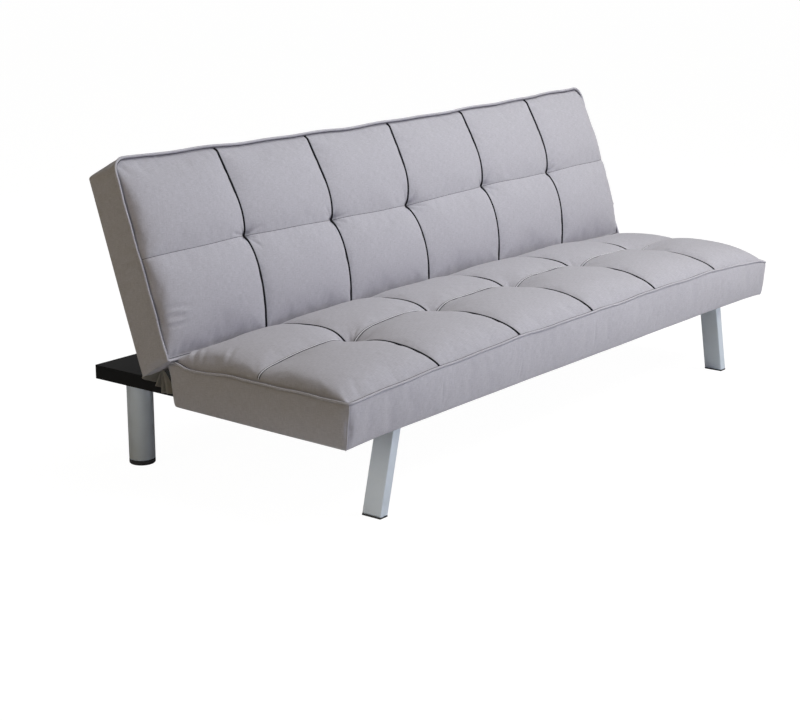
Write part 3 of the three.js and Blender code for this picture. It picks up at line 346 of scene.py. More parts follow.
for row in frame["record"]["subparts"]:
    width = next((size for part, size in ROUNDING.items() if part in row["node"]), None)
    if width and not row["node"].startswith("seat_"):
        piece = bpy.data.objects[row["node"]]
        piece.data.polygons.foreach_set("use_smooth", [True] * len(piece.data.polygons))
        weld = piece.modifiers.new("weld", "WELD")
        weld.merge_threshold = WELD_DISTANCE
        flat = piece.modifiers.new("flat", "DECIMATE")
        flat.decimate_type = "DISSOLVE"
        flat.angle_limit = FLAT_ANGLE
        rounding = piece.modifiers.new("rounding", "BEVEL")
        rounding.width = width
        rounding.segments = 3
        rounding.use_clamp_overlap = False
        rounding.limit_method = "ANGLE"
        rounding.angle_limit = EDGE_ANGLE
        piece.modifiers.new("shading", "WEIGHTED_NORMAL")
        print(row["node"], "edges rounded by", round(width / MM, 1), "mm")

# %% [markdown]
# ## Helpers for modelling
# Every primitive starts selected all over and every operator acts on what is selected, so each helper starts
# by deselecting everything. The finished object stays at the origin: its place is in its mesh.


# %% Selecting, smoothing, and reading points
def only(piece):
    bpy.ops.object.select_all(action="DESELECT")
    piece.select_set(True)
    bpy.context.view_layer.objects.active = piece


def points_of(piece):
    flat = np.empty(len(piece.data.vertices) * 3)
    piece.data.vertices.foreach_get("co", flat)
    return flat.reshape(-1, 3)


def set_points(piece, points):
    piece.data.vertices.foreach_set("co", np.ascontiguousarray(points, dtype=float).ravel())
    piece.data.update()


def placed(points, matrix):
    """Points moved by a matrix, all at once."""
    turn = np.array(matrix.to_3x3())
    return points @ turn.T + np.array(matrix.translation)


def paint(piece, material):
    piece.data.materials.clear()
    piece.data.materials.append(material)
    only(piece)
    bpy.ops.object.shade_smooth()


def dress(piece, material, body):
    paint(piece, material)
    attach(piece, body)
    return piece


# %% [markdown]
# A weave needs a flat map of each piece. Cloth lies on a cushion in nearly flat panels, so each face is
# mapped straight on from the side that it faces most: top, front or end.


# %% Lay the weave on a piece
FLAT_AXES = np.array([[1, 2], [0, 2], [0, 1]])


def lay_weave(piece, place):
    """A face that looks along X, Y or Z takes its map from the other two coordinates of the cushion's frame."""
    mesh = piece.data
    layer = mesh.uv_layers.get("weave") or mesh.uv_layers.new(name="weave")
    local = placed(points_of(piece), place.inverted())
    normals = np.empty(len(mesh.polygons) * 3)
    mesh.polygons.foreach_get("normal", normals)
    turned = placed(normals.reshape(-1, 3), place.to_3x3().inverted().to_4x4())
    facing = np.abs(turned).argmax(axis=1)
    loop_point = np.empty(len(mesh.loops), dtype=int)
    mesh.loops.foreach_get("vertex_index", loop_point)
    counts = np.empty(len(mesh.polygons), dtype=int)
    mesh.polygons.foreach_get("loop_total", counts)
    loop_facing = np.repeat(facing, counts)
    pairs = FLAT_AXES[loop_facing]
    flat = np.take_along_axis(local[loop_point], pairs, axis=1)
    layer.data.foreach_set("uv", flat.ravel())


def dress_cloth(piece, place, material, body):
    lay_weave(piece, place)
    return dress(piece, material, body)


# %% [markdown]
# A cord, a welt or a seam line is a round bar that follows a list of points. A curve with a bevel makes the
# bar, and is then turned into a mesh.


# %% A round bar through points
def bar_through(name, points, radius, closed=False, sides=2):
    curve = bpy.data.curves.new(name, "CURVE")
    curve.dimensions = "3D"
    curve.bevel_depth = radius
    curve.bevel_resolution = sides
    curve.use_fill_caps = not closed
    line = curve.splines.new("POLY")
    line.points.add(len(points) - 1)
    line.points.foreach_set("co", np.c_[points, np.ones(len(points))].ravel())
    line.use_cyclic_u = closed
    bar = bpy.data.objects.new(name, curve)
    bpy.context.scene.collection.objects.link(bar)
    only(bar)
    bpy.ops.object.convert(target="MESH")
    return bpy.context.view_layer.objects.active


# %% [markdown]
# ## The shape of a tufted cushion
# A place on a cushion is a pair of shares: across, from -1 to 1, and along, from 0 at the near edge to 1 at
# the far edge. The height there is the sum of the edge, the crown of the padding, the puffs between the
# seams and the dips at the tufts. The seat and the back use the same sums with their own sizes.
#
# Half, near and far say where the edges lie. The edge and ridge tables give heights along the cushion, at
# its sides, in the middle of its edge and on its crown. Roll and drop lead the face over to the welt. Puff,
# groove, pinch, fold and the tufts' dips and reaches shape the quilting. Drifts and rises move the seams as
# hand sewing does. Bottom, shifts, hem, bulge and sag shape the border.


# %% Sizes of the two cushions
class Pad:
    """Sizes of one cushion, in metres and shares. Drifts, dips and rises are in millimetres, one a seam."""

    def __init__(self, **sizes):
        self.__dict__.update(sizes)


COLUMNS = 6
WELT_INSET = 0.2 * MM
FACE_INSET = 5.5 * MM
DROP_REACH = 8 * MM

seat = Pad(
    name="seat", body="base", place=seat_place,
    half=0.8978, near=2.2 * MM, far=0.512, far_dip=0.0,
    near_radius=9 * MM, far_radius=12 * MM, rear_radius=5 * MM,
    edge_shares=[0, 0.15, 0.25, 0.48, 0.58, 0.8, 0.88, 0.945, 1],
    side_heights=[0.2855, 0.2872, 0.2872, 0.287, 0.29, 0.2835, 0.2825, 0.291, 0.2865],
    middle_heights=[0.303, 0.3035, 0.3035, 0.303, 0.302, 0.297, 0.294, 0.289, 0.2795],
    roll=9 * MM, roll_share=0.58, reach=0.55, overhang=5 * MM, drop=2.5 * MM,
    ridge_shares=[0, 0.05, 0.12, 0.25, 0.36, 0.5, 0.6, 0.7, 0.8, 0.87, 0.915, 0.945, 1],
    ridge_heights=[
        0.3035, 0.317, 0.329, 0.339, 0.341, 0.3405, 0.3415, 0.341, 0.336, 0.328, 0.317, 0.304, 0.2805,
    ],
    puff=10 * MM, groove=0.35, tuft_share=0.482,
    near_reach=46 * MM, tuft_reach=30 * MM, pinch=3 * MM, fold=3 * MM,
    tuft_dips=[38, 30, 32, 28, 30], tuft_rises=[0, 0, 0, 0, 0], near_rises=[-2, 3, 2, 4.5, 4.5],
    seam_drifts=[[4.6, 7.6, 17, 12.7, 27, 9], [0, 2, 24, 24, 26, 7], [0, 0, 0, 4, 8, 3]],
    fullness=[[1, 1, 1, 1.1, 1.1, 1.45], [1, 1, 1, 1, 0.9, 0.45]],
    bottom=0.1935, near_shift=9 * MM, far_shift=-21 * MM, hem=18 * MM,
    bulge=4 * MM, corner_sag=6 * MM, corner_drop=9 * MM, welt=2.6 * MM, welt_lift=0.5 * MM,
)
back = Pad(
    name="back", body="back", place=back_place,
    half=0.919, near=-0.5 * MM, far=0.4428, far_dip=13 * MM,
    near_radius=4 * MM, far_radius=35 * MM, rear_radius=5 * MM,
    edge_shares=[0, 0.5, 1],
    side_heights=[0.0, -2 * MM, -5 * MM],
    middle_heights=[0.0, -2 * MM, -5 * MM],
    roll=9 * MM, roll_share=0.76, reach=0.3, overhang=6 * MM, drop=5.5 * MM,
    ridge_shares=[0, 0.04, 0.11, 0.21, 0.31, 0.41, 0.5, 0.57, 0.65, 0.72, 0.81, 0.92, 1],
    ridge_heights=[
        0, 0.006, 0.016, 0.0255, 0.029, 0.029, 0.0275, 0.0265, 0.025, 0.0215, 0.014, 0.003, -0.005,
    ],
    puff=8 * MM, groove=0.45, tuft_share=0.5,
    near_reach=34 * MM, tuft_reach=34 * MM, pinch=1 * MM, fold=2.5 * MM,
    tuft_dips=[18, 18, 24, 20, 20], tuft_rises=[5.8, 1, -2.6, 4, 0], near_rises=[0, 0, 0, 0, 0],
    seam_drifts=[[3.2, -2, 2.7, 5.7, 9.6, 0], [4, 1, -8, 12, 18, 0], [1, 5, 16, 19.5, 22, 0]],
    fullness=[[1, 1, 1, 1, 1, 1], [1, 1, 1, 1, 1, 1]],
    bottom=-0.0905, near_shift=-21 * MM, far_shift=-20 * MM, hem=14 * MM,
    bulge=1.2 * MM, corner_sag=0.0, corner_drop=0.0, welt=3 * MM, welt_lift=1.2 * MM,
)
print("seat", seat.half * 2, "m wide; back", back.half * 2, "m wide")


# %% A smooth curve through a few heights
def smooth_table(shares, values, along):
    """Blends the slopes at both ends of each stretch."""
    shares, values = np.array(shares), np.array(values)
    slopes = np.gradient(values, shares)
    k = np.clip(np.searchsorted(shares, along, side="right") - 1, 0, len(shares) - 2)
    width = shares[k + 1] - shares[k]
    s = (along - shares[k]) / width
    start = values[k] * (1 + 2 * s) * (1 - s) ** 2 + slopes[k] * width * s * (1 - s) ** 2
    end = values[k + 1] * s * s * (3 - 2 * s) + slopes[k + 1] * width * s * s * (s - 1)
    return start + end


# %% Height of the edge, of the seams and of the quilted face
HAND_SEWN = 0.9 * MM
CORNER_DROP_REACH = 32 * MM
NEAR_BLEND = 25 * MM
PINCH_REACH = 9 * MM
FOLD_REACH = 6 * MM
SIDE_POWER = 4
CROWN_POWER = 2.2
PILLOW_POWER = 0.52
END_SHARE = 0.06
CREASE_SHARE = 0.045
CREASE_POWER = 0.9
DIP_POWER = 1.2
EDGE_WAVES = [(1, 19, 0, 2), (0.8, 34, 11, 0), (0.8, 0, 29, 1)]
REAR_WAVES = [(1, 17, 0, 1), (1, 29, 0, 3)]
SEAMS_ACROSS = np.linspace(-1, 1, COLUMNS + 1)


def waves(rows, across, along):
    """What hands leave uneven, as a sum of sines. A row is a height, two rates and a start."""
    return sum(height * np.sin(x * across + y * along + start) for height, x, y, start in rows)


def column_of(across):
    """The columns passed so far, counted from the left edge. Whole numbers are dark seams."""
    return (across + 1) * COLUMNS / 2


def direction(pad, *ahead):
    """A direction of the cushion's own frame, as the room sees it."""
    return np.array(pad.place.to_3x3() @ Vector(ahead))


def between_seams(across, values):
    """Spreads one value a seam, in millimetres, over the width. A sixth value stands for the right end."""
    return np.interp(across, SEAMS_ACROSS, ([0] + values + [0])[: COLUMNS + 1]) * MM


def drift(pad, across, along):
    """How far hand sewing moved the seams: sideways at both edges and the tufts, and along at the tufts."""
    nearer = along < pad.tuft_share
    to_tuft = np.where(nearer, along / pad.tuft_share, (1 - along) / (1 - pad.tuft_share))
    near, tuft, far = (between_seams(across, row) for row in pad.seam_drifts)
    edge = np.where(nearer, near, far)
    return edge + (tuft - edge) * to_tuft, between_seams(across, pad.tuft_rises) * to_tuft


def edge_height(pad, across, along):
    side = smooth_table(pad.edge_shares, pad.side_heights, along)
    middle = smooth_table(pad.edge_shares, pad.middle_heights, along)
    uneven = waves(EDGE_WAVES, across, along)
    rise = between_seams(across, pad.near_rises) * (1 - along) ** SIDE_POWER
    from_corner = np.hypot((1 - across) * pad.half, along * (pad.far - pad.near))
    drop = pad.corner_drop * np.exp(-from_corner / CORNER_DROP_REACH)
    return middle + (side - middle) * np.abs(across) ** SIDE_POWER + HAND_SEWN * uneven + rise - drop


def outline(pad, across, along, inset, drop_share=0.0):
    """Where a place of one level lies, corners rounded. The drop share is 0 at the welt and 1 at the hem."""
    half = pad.half - inset
    near = pad.near + pad.near_shift * drop_share + inset
    sewn = HAND_SEWN * waves(REAR_WAVES, across, along)
    far = pad.far + pad.far_shift * drop_share - pad.far_dip * (1 - across**2) + sewn - inset
    nearer = along < pad.tuft_share
    far_radius = pad.far_radius + (pad.rear_radius - pad.far_radius) * drop_share
    radius = np.maximum(np.where(nearer, pad.near_radius, far_radius) - inset, MM)
    x = across * half
    y = near + (far - near) * along
    over_x = np.abs(x) - (half - radius)
    over_y = np.where(nearer, near + radius - y, y - (far - radius))
    corner = (over_x > 0) & (over_y > 0)
    distance = np.where(corner, np.hypot(over_x, over_y), 1)
    pull = np.where(corner, np.maximum(over_x, over_y) / distance - 1, 0)
    sideways, rise = drift(pad, across, along)
    return x + np.sign(x) * over_x * pull + sideways, y + np.where(nearer, -1, 1) * over_y * pull + rise


def face_height(pad, across, along):
    x, y = outline(pad, across, along, FACE_INSET)
    edge = edge_height(pad, across, along)
    from_side = (1 - np.abs(across)) * pad.half
    rolled = 1 - np.exp(-from_side / pad.roll)
    crowned = 1 - (1 - np.minimum(1, from_side / pad.reach)) ** CROWN_POWER
    inward = pad.roll_share * rolled + (1 - pad.roll_share) * crowned
    ridge = smooth_table(pad.ridge_shares, pad.ridge_heights, along)
    crown = (ridge - edge_height(pad, 0, along)) * inward
    column = column_of(across) % 1
    pillow = (4 * column * (1 - column)) ** PILLOW_POWER
    ends = np.clip(along / END_SHARE, 0, 1) * np.clip((1 - along) / END_SHARE, 0, 1)
    crease = np.exp(-((np.abs(along - pad.tuft_share) / CREASE_SHARE) ** CREASE_POWER))
    number = np.clip(np.floor(column_of(across)), 0, COLUMNS - 1).astype(int)
    near_full, far_full = np.array(pad.fullness)[:, number]
    full = np.where(along < pad.tuft_share, near_full, far_full)
    puffs = pad.puff * full * pillow * (ends * (2 - ends)) * (1 - pad.groove * crease)
    dips = np.zeros_like(x)
    for seam, dip in enumerate(pad.tuft_dips, start=1):
        seam_across = SEAMS_ACROSS[seam : seam + 1]
        tuft_x, tuft_y = outline(pad, seam_across, np.array([pad.tuft_share]), FACE_INSET)
        away = np.hypot(x - tuft_x, y - tuft_y)
        towards_front = np.clip((tuft_y - y) / NEAR_BLEND, 0, 1)
        reach = pad.tuft_reach + (pad.near_reach - pad.tuft_reach) * towards_front
        dips += dip * MM * np.exp(-((away / reach) ** DIP_POWER))
        dips += pad.pinch * np.exp(-((away / PINCH_REACH) ** 2))
    from_fold = (along - pad.tuft_share) * (pad.far - pad.near)
    dips += pad.fold * np.exp(-((from_fold / FOLD_REACH) ** 2)) * rolled
    from_end = np.minimum(along, 1 - along) * (pad.far - pad.near)
    rim = 1 - np.minimum(from_side, from_end) / DROP_REACH
    return edge + crown + puffs - dips - pad.drop * np.clip(rim, 0, 1)


# %% [markdown]
# ## Cutting the cloth
# A cushion cover starts as a flat pattern, as it does in a sewing room. A square grid is the quilted face.
# Its rim is extruded outwards again and again: those rings become the border and the hem. Each ring is one
# step larger, so a point's place in the pattern says by itself which ring it is on and where on the rim it
# lies.

# %% A flat pattern of grid and rings
RING_STEP = 0.01
STEPS_A_COLUMN = 36
STEPS_ALONG = 60
CROWDING = 0.6
ROWS_OF_PUFFS = 2
CROSS_SEAM = 0.5


def flat_pattern(name, rings):
    bpy.ops.object.select_all(action="DESELECT")
    steps_across = STEPS_A_COLUMN * COLUMNS
    bpy.ops.mesh.primitive_grid_add(x_subdivisions=steps_across, y_subdivisions=STEPS_ALONG, size=2)
    piece = bpy.context.active_object
    piece.name = name
    bpy.ops.object.mode_set(mode="EDIT")
    bpy.ops.mesh.select_mode(type="EDGE")
    bpy.ops.mesh.select_all(action="SELECT")
    bpy.ops.mesh.region_to_loop()
    for ring in range(rings):
        bpy.ops.mesh.extrude_region_move()
        grow = (1 + RING_STEP * (ring + 1)) / (1 + RING_STEP * ring)
        bpy.ops.transform.resize(value=(grow, grow, 1), center_override=(0, 0, 0))
    bpy.ops.object.mode_set(mode="OBJECT")
    return piece


def crowd(share, parts):
    """Moves grid lines towards the seams, where the cloth bends most. A seam's own line stays where it is."""
    turn = 2 * math.pi * parts
    return share - CROWDING * np.sin(turn * share) / turn


def read_pattern(piece):
    """The ring number, and the shares across and along, of every point of the flat pattern."""
    flat = points_of(piece)
    size = np.abs(flat[:, :2]).max(axis=1)
    ring = np.rint(np.maximum(size - 1, 0) / RING_STEP).astype(int)
    shares = (flat[:, :2] / np.maximum(size, 1)[:, None] + 1) / 2
    return ring, 2 * crowd(shares[:, 0], COLUMNS) - 1, crowd(shares[:, 1], ROWS_OF_PUFFS)


def to_tuft_row(pad, along):
    """The pattern's cross seam lies halfway; on the cushion it goes through the tufts."""
    return np.interp(along, [0, CROSS_SEAM, 1], [0, pad.tuft_share, 1])


# %% [markdown]
# Each ring of the border has a share of the way down from the welt to the hem, and the last rings turn
# under. The hem at the rear of the seat stays above the deck that the seat stands on.

# %% From the pattern to the cushion
BORDER_SHARES = [0.012, 0.03, 0.1, 0.22, 0.36, 0.5, 0.65, 0.82, 0.96, 1]
BORDER_INSETS = [2.6 * MM, 0.4 * MM, 0, 0, 0, 0, 0, 0, 0.5 * MM, 3 * MM]
BULGE_SHARES = [0, 0.3, 0.6, 0.85, 1, 1, 1, 0.9, 0.6, 0.2]
HEM_RINGS = 2
HEM_LIFT = 0.2 * MM
DECK_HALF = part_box("support_deck")[1].x + 5 * MM
DECK_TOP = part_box("support_deck")[1].z
DECK_CLEARANCE = 3 * MM
SAG_REACH = 90 * MM
OVERHANG_REACH = 6 * MM
FACING_SHARE = 0.06
SWELL_WAVES = [(0.5, 9, 7, 1), (0.4, 21, 0, 4)]
CLOSE = 1e-3


def bottom_height(pad, across, along):
    over_deck = (pad is seat) & (along > 1 - CLOSE) & (np.abs(across) * pad.half < DECK_HALF)
    sag = pad.corner_sag * np.exp(-(1 - np.abs(across)) * pad.half / SAG_REACH) * (1 - along)
    return np.where(over_deck, DECK_TOP + DECK_CLEARANCE, pad.bottom - sag)


def border_bulge(pad, across, along):
    """The border swells a little and unevenly, but stays flat where the two cushions face each other."""
    from_facing = along if pad is back else 1 - along
    uneven = 1 + waves(SWELL_WAVES, across, along)
    return pad.bulge * uneven * np.clip(from_facing / FACING_SHARE, 0, 1)


def cushion_points(pad, ring, across, along):
    """Every point of the pattern in the cushion's own frame: first the face, then ring after ring."""
    along = to_tuft_row(pad, along)
    x, y = outline(pad, across, along, FACE_INSET)
    from_side = (1 - np.abs(across)) * pad.half / OVERHANG_REACH
    x = x + np.sign(across) * pad.overhang * from_side * np.exp(1 - from_side)
    z = face_height(pad, across, along)
    edge = edge_height(pad, across, along)
    bottom = bottom_height(pad, across, along)
    lowest = (edge - bottom) / (edge - pad.bottom)
    bulge = border_bulge(pad, across, along)
    levels = []
    for share, inset, part in zip(BORDER_SHARES, BORDER_INSETS, BULGE_SHARES):
        levels.append((share, inset - part * bulge, edge + (bottom - edge) * share))
    for step in range(1, HEM_RINGS + 1):
        levels.append((1, BORDER_INSETS[-1] + pad.hem * step / HEM_RINGS, bottom + HEM_LIFT * step))
    for number, (share, inset, height) in enumerate(levels, start=1):
        level = outline(pad, across, along, inset, share * lowest)
        chosen = ring == number
        x = np.where(chosen, level[0], x)
        y = np.where(chosen, level[1], y)
        z = np.where(chosen, height, z)
    return np.stack([x, y, z], axis=1)


# %% [markdown] ## Filling the cushions Sewn and stapled lines can't move, and the cloth between them swells
# over its stuffing. That is a job for cloth simulation: the seams, the rim with its welt and the hem are
# pinned, the cloth gets a little too much size, and air pressure pushes it out, which also brings the small
# puckers beside the seams. Gravity is off, because foam carries the cloth.

# %% Swell the cloth between its seams
PRESSURE = 4.0
SPARE_CLOTH = 0.007
LARGEST_SWELL = 22 * MM
FRAMES = 18


def seam_mask(ring, across, along):
    """Points on the dark seams and on the cross seam."""
    column = column_of(across)
    on_dark = np.abs(column - np.rint(column)) < CLOSE
    on_cross = np.abs(along - CROSS_SEAM) < CLOSE
    return (ring == 0) & (on_dark | on_cross)


def swell(piece, pinned):
    start = points_of(piece)
    sewn = piece.vertex_groups.new(name="sewn")
    sewn.add([int(i) for i in np.flatnonzero(pinned)], 1.0, "REPLACE")
    cloth = piece.modifiers.new("cloth", "CLOTH")
    settings = cloth.settings
    settings.quality = 5
    settings.mass = 0.3
    settings.tension_stiffness = settings.compression_stiffness = 12
    settings.shear_stiffness = 4
    settings.bending_stiffness = 0.4
    settings.vertex_group_mass = "sewn"
    settings.use_pressure = True
    settings.uniform_pressure_force = PRESSURE
    settings.shrink_min = -SPARE_CLOTH
    settings.effector_weights.gravity = 0
    cloth.collision_settings.use_collision = False
    cloth.point_cache.frame_start = 1
    cloth.point_cache.frame_end = FRAMES
    for frame_number in range(1, FRAMES + 1):
        bpy.context.scene.frame_set(frame_number)
    only(piece)
    bpy.ops.object.modifier_apply(modifier="cloth")
    moved = points_of(piece) - start
    length = np.linalg.norm(moved, axis=1)
    keep = np.minimum(1, LARGEST_SWELL / np.maximum(length, 1e-9))
    set_points(piece, start + moved * keep[:, None])
    largest, average = (round(float(size / MM), 1) for size in (length.max(), length.mean()))
    print(piece.name, "swelled", largest, "mm at most,", average, "on average")
    bpy.context.scene.frame_set(1)


# %% [markdown]
# Subdivision smooths the simulated cloth. A crease on the seams keeps their grooves sharp. The shares across
# and along go with the points as attributes, so that seams and wrinkles can still be found on the finer
# mesh.


# %% Sew, fill and smooth a cushion
def note(piece, name, values):
    attribute = piece.data.attributes.new(name, "FLOAT", "POINT")
    attribute.data.foreach_set("value", values.astype(np.float32))


def noted(piece, name):
    values = np.empty(len(piece.data.vertices), dtype=np.float32)
    piece.data.attributes[name].data.foreach_get("value", values)
    return values


def crease_seams(piece, on_seam):
    ends = np.empty(len(piece.data.edges) * 2, dtype=int)
    piece.data.edges.foreach_get("vertices", ends)
    both = on_seam[ends.reshape(-1, 2)].all(axis=1)
    crease = piece.data.attributes.new("crease_edge", "FLOAT", "EDGE")
    crease.data.foreach_set("value", both.astype(np.float32))


def sew_cushion(pad):
    piece = flat_pattern(pad.name + "_cushion", len(BORDER_SHARES) + HEM_RINGS)
    ring, across, along = read_pattern(piece)
    set_points(piece, placed(cushion_points(pad, ring, across, along), pad.place))
    on_seam = seam_mask(ring, across, along)
    on_rim = (ring == 0) & ((np.abs(across) > 1 - CLOSE) | (np.abs(along - 0.5) > 0.5 - CLOSE))
    at_welt = (ring == 1) | (ring == 2)
    at_hem = ring >= len(BORDER_SHARES) - 1
    swell(piece, on_seam | on_rim | at_welt | at_hem)
    note(piece, "ring", ring.astype(float))
    note(piece, "across", across)
    note(piece, "along", along)
    crease_seams(piece, on_seam)
    finer = piece.modifiers.new("finer", "SUBSURF")
    finer.levels = finer.render_levels = 1
    only(piece)
    bpy.ops.object.modifier_apply(modifier="finer")
    return piece


seat_cushion = sew_cushion(seat)
back_cushion = sew_cushion(back)
print("sewn:", seat_cushion.name, "and", back_cushion.name)

# %% [markdown]
# A used cushion also has a few wrinkles of its own: short ones at the seat's rear corner and at the foot of
# the back, where the cloth is pulled round the corner. Each is pressed in like a modelling tool would, as a
# thin ridge or groove between two places, strongest in its middle. A ridge beside a groove makes a fold.


# %% Press in wrinkles
WRINKLE_WIDTH = 3.3 * MM
RIDGE_END = 0.1
SEAM_GUARD = 0.01
HALF_RING = 0.5


def ridge_lift(pad, spots, start, end, height, width):
    """How far one ridge lifts each spot of the cover. A groove has a height below zero."""
    size = np.array([pad.half, pad.far - pad.near])
    a, b = np.array(start) * size, np.array(end) * size
    run = b - a
    share = np.clip(((spots * size - a) @ run) / (run @ run), 0, 1)
    away = np.linalg.norm(spots * size - a - share[:, None] * run, axis=1)
    along_ridge = RIDGE_END + (1 - 2 * RIDGE_END) * share
    return height * np.exp(-((away / width) ** 2)) * np.sin(math.pi * along_ridge)


def press(pad, piece, ridges):
    """Lifts the face of the cushion along each ridge, and leaves its seams where they are sewn."""
    across, along = noted(piece, "across"), noted(piece, "along")
    spots = np.stack([across, along], axis=1)
    lift = sum(ridge_lift(pad, spots, *ridge) for ridge in ridges)
    column = column_of(across)
    from_seam = np.minimum(np.abs(column - np.rint(column)), np.abs(along - CROSS_SEAM))
    lift = lift * (noted(piece, "ring") < HALF_RING) * np.clip(from_seam / SEAM_GUARD, 0, 1)
    set_points(piece, points_of(piece) + lift[:, None] * direction(pad, 0, 0, 1))


seat_wrinkles = [
    ((-0.995, 0.893), (-0.945, 0.938), 3),
    ((-0.995, 0.872), (-0.943, 0.918), -4.6),
    ((-0.995, 0.838), (-0.950, 0.878), 2.6),
    ((-0.995, 0.820), (-0.950, 0.860), -4.2),
    ((-0.995, 0.700), (-0.935, 0.752), 2.4),
    ((-0.995, 0.680), (-0.935, 0.732), -4.6),
    ((0.995, 0.880), (0.945, 0.930), 2.4),
]
back_wrinkles = [
    ((-1.0, 0.236), (-0.920, 0.226), -4.4),
    ((-1.0, 0.221), (-0.930, 0.208), 2.6),
    ((-1.0, 0.206), (-0.940, 0.182), -4.4),
    ((-1.0, 0.162), (-0.945, 0.166), 2.4),
    ((-1.0, 0.146), (-0.935, 0.152), -4.2),
    ((1.0, 0.210), (0.940, 0.170), 2),
]


def wrinkles(rows):
    """Fills up rows of start, end and height in millimetres."""
    return [(start, end, height * MM, WRINKLE_WIDTH) for start, end, height in rows]

# %% [markdown]
# The pull of each tuft gathers the cloth round it into short creases that run outwards like the points of a
# star.

# %% Creases round the tufts
CREASE_LENGTH = 36 * MM
CREASE_DEPTH = 2.6 * MM
CREASE_WIDTH = 3.5 * MM
CREASE_ANGLES = (18, 52, 128, 160, 205, 240, 300, 338)
ANGLE_WANDER = 9
LENGTH_WANDER = 0.35
POCKET_LENGTH = 17 * MM
POCKET_DEPTH = 6 * MM
POCKET_WIDTH = 1.6 * CREASE_WIDTH
POCKET_ANGLE = math.radians(38)


def seam_share(seam):
    """The share across of a dark seam."""
    return 2 * seam / COLUMNS - 1


def tuft_creases(pad):
    """Creases of uneven length and angle, and one deeper pocket beside each tuft."""
    creases = []
    for seam in range(1, COLUMNS):
        tuft = (seam_share(seam), CROSS_SEAM)

        def outwards(length, turn):
            across = tuft[0] + length * math.cos(turn) / pad.half
            return across, tuft[1] + length * math.sin(turn) / (pad.far - pad.near)

        for number, angle in enumerate(CREASE_ANGLES):
            turn = math.radians(angle + ANGLE_WANDER * math.sin(seam * 2.7 + number * 1.9))
            length = CREASE_LENGTH * (1 + LENGTH_WANDER * math.sin(seam * 1.3 + number * 2.3))
            creases.append((tuft, outwards(length, turn), -CREASE_DEPTH, CREASE_WIDTH))
        creases.append((tuft, outwards(POCKET_LENGTH, POCKET_ANGLE), -POCKET_DEPTH, POCKET_WIDTH))
    return creases


press(seat, seat_cushion, wrinkles(seat_wrinkles) + tuft_creases(seat))
press(back, back_cushion, wrinkles(back_wrinkles) + tuft_creases(back))
print("wrinkles and creases pressed in")

# %% [markdown]
# Cloth is eased onto a welt, so small gathers run inwards from it. Their pitch and height wander, as by
# hand.

# %% Gathers along the welts
GATHER_HEIGHT = 0.9 * MM
GATHER_PITCH = 17 * MM
GATHER_REACH = 14 * MM
WELT_GUARD = 3 * MM


def wandering(run):
    """A wave along a welt. Two slower waves shift its crests and change its height."""
    turn = 2 * math.pi * run / GATHER_PITCH
    shift = 1.8 * np.sin(turn * 0.29)
    height = 0.55 + 0.45 * np.sin(turn * 0.17 + 2)
    return np.sin(turn + shift) * height


def gather(pad, piece):
    across, along = noted(piece, "across"), noted(piece, "along")
    depth = pad.far - pad.near
    from_side = (1 - np.abs(across)) * pad.half
    from_end = np.minimum(along, 1 - along) * depth
    sides = wandering(along * depth) * np.exp(-from_side / GATHER_REACH)
    ends = wandering(across * pad.half) * np.exp(-from_end / GATHER_REACH)
    off_welt = np.clip(np.minimum(from_side, from_end) / WELT_GUARD, 0, 1)
    lift = GATHER_HEIGHT * (sides + ends) * off_welt * (noted(piece, "ring") < HALF_RING)
    set_points(piece, points_of(piece) + lift[:, None] * direction(pad, 0, 0, 1))


gather(seat, seat_cushion)
gather(back, back_cushion)
print("gathers", round(GATHER_HEIGHT / MM, 1), "mm high along the welts")

# %% Finish both covers
for pad, piece in ((seat, seat_cushion), (back, back_cushion)):
    dress_cloth(piece, pad.place, upholstery, pad.body)
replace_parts(seat_cushion, "seat_cover")
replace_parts(back_cushion, "back_cover")
print("covers of", [len(piece.data.vertices) for piece in (seat_cushion, back_cushion)], "points")

# %% [markdown]
# ## Welts
# A welt is a cord in a sleeve of the same cloth, sewn into the edge. Its cloth is painted a little lighter
# than the cushion, as a painted highlight. It runs round three sides of the seat and all round the front of
# the back. A line of stitches lies in the groove beside it, dark grey as painted shade of the groove.


# %% The two welts
STITCH_RADIUS = 0.7 * MM
WELT_END = 0.985


def rim_shares(pad, closed):
    """The places of the rim in order: all round, or from the rear left by the front to the rear right."""
    steps = 2 * crowd(np.linspace(0, 1, STEPS_A_COLUMN * COLUMNS + 1), COLUMNS) - 1
    rows = to_tuft_row(pad, crowd(np.linspace(0, 1, STEPS_ALONG + 1), ROWS_OF_PUFFS))
    near = [(a, 0.0) for a in steps]
    right = [(1.0, t) for t in rows[1:]]
    left = [(-1.0, t) for t in rows[:0:-1]]
    if closed:
        far = [(a, 1.0) for a in steps[-2:0:-1]]
        return near + right + far + left
    left, right = ([pair for pair in side if pair[1] < WELT_END] for side in (left, right))
    return left + near + right


def rim_bar(pad, closed, name, radius, inset, lift, material):
    """A cord along the rim of a cushion, this far in from its edge and above it."""
    across, along = np.array(rim_shares(pad, closed)).T
    x, y = outline(pad, across, along, inset)
    z = edge_height(pad, across, along) + lift
    points = placed(np.stack([x, y, z], axis=1), pad.place)
    return dress_cloth(bar_through(pad.name + name, points, radius, closed), pad.place, material, pad.body)


# A thin dark bar in the groove beside the welt: partly the stitching, and partly painted shade of the crease.
def stitch_and_crease_shade_line(pad, closed, inset, lift):
    rim_bar(pad, closed, "_welt_stitches_and_crease_shade", STITCH_RADIUS, inset, lift, thread_and_crease_shade_cloth)


def welt(pad, closed):
    # The welt's cloth is painted lighter than the cushion, as a painted highlight.
    return rim_bar(pad, closed, "_welt", pad.welt, WELT_INSET, pad.welt_lift, welt_painted_highlight_cloth)


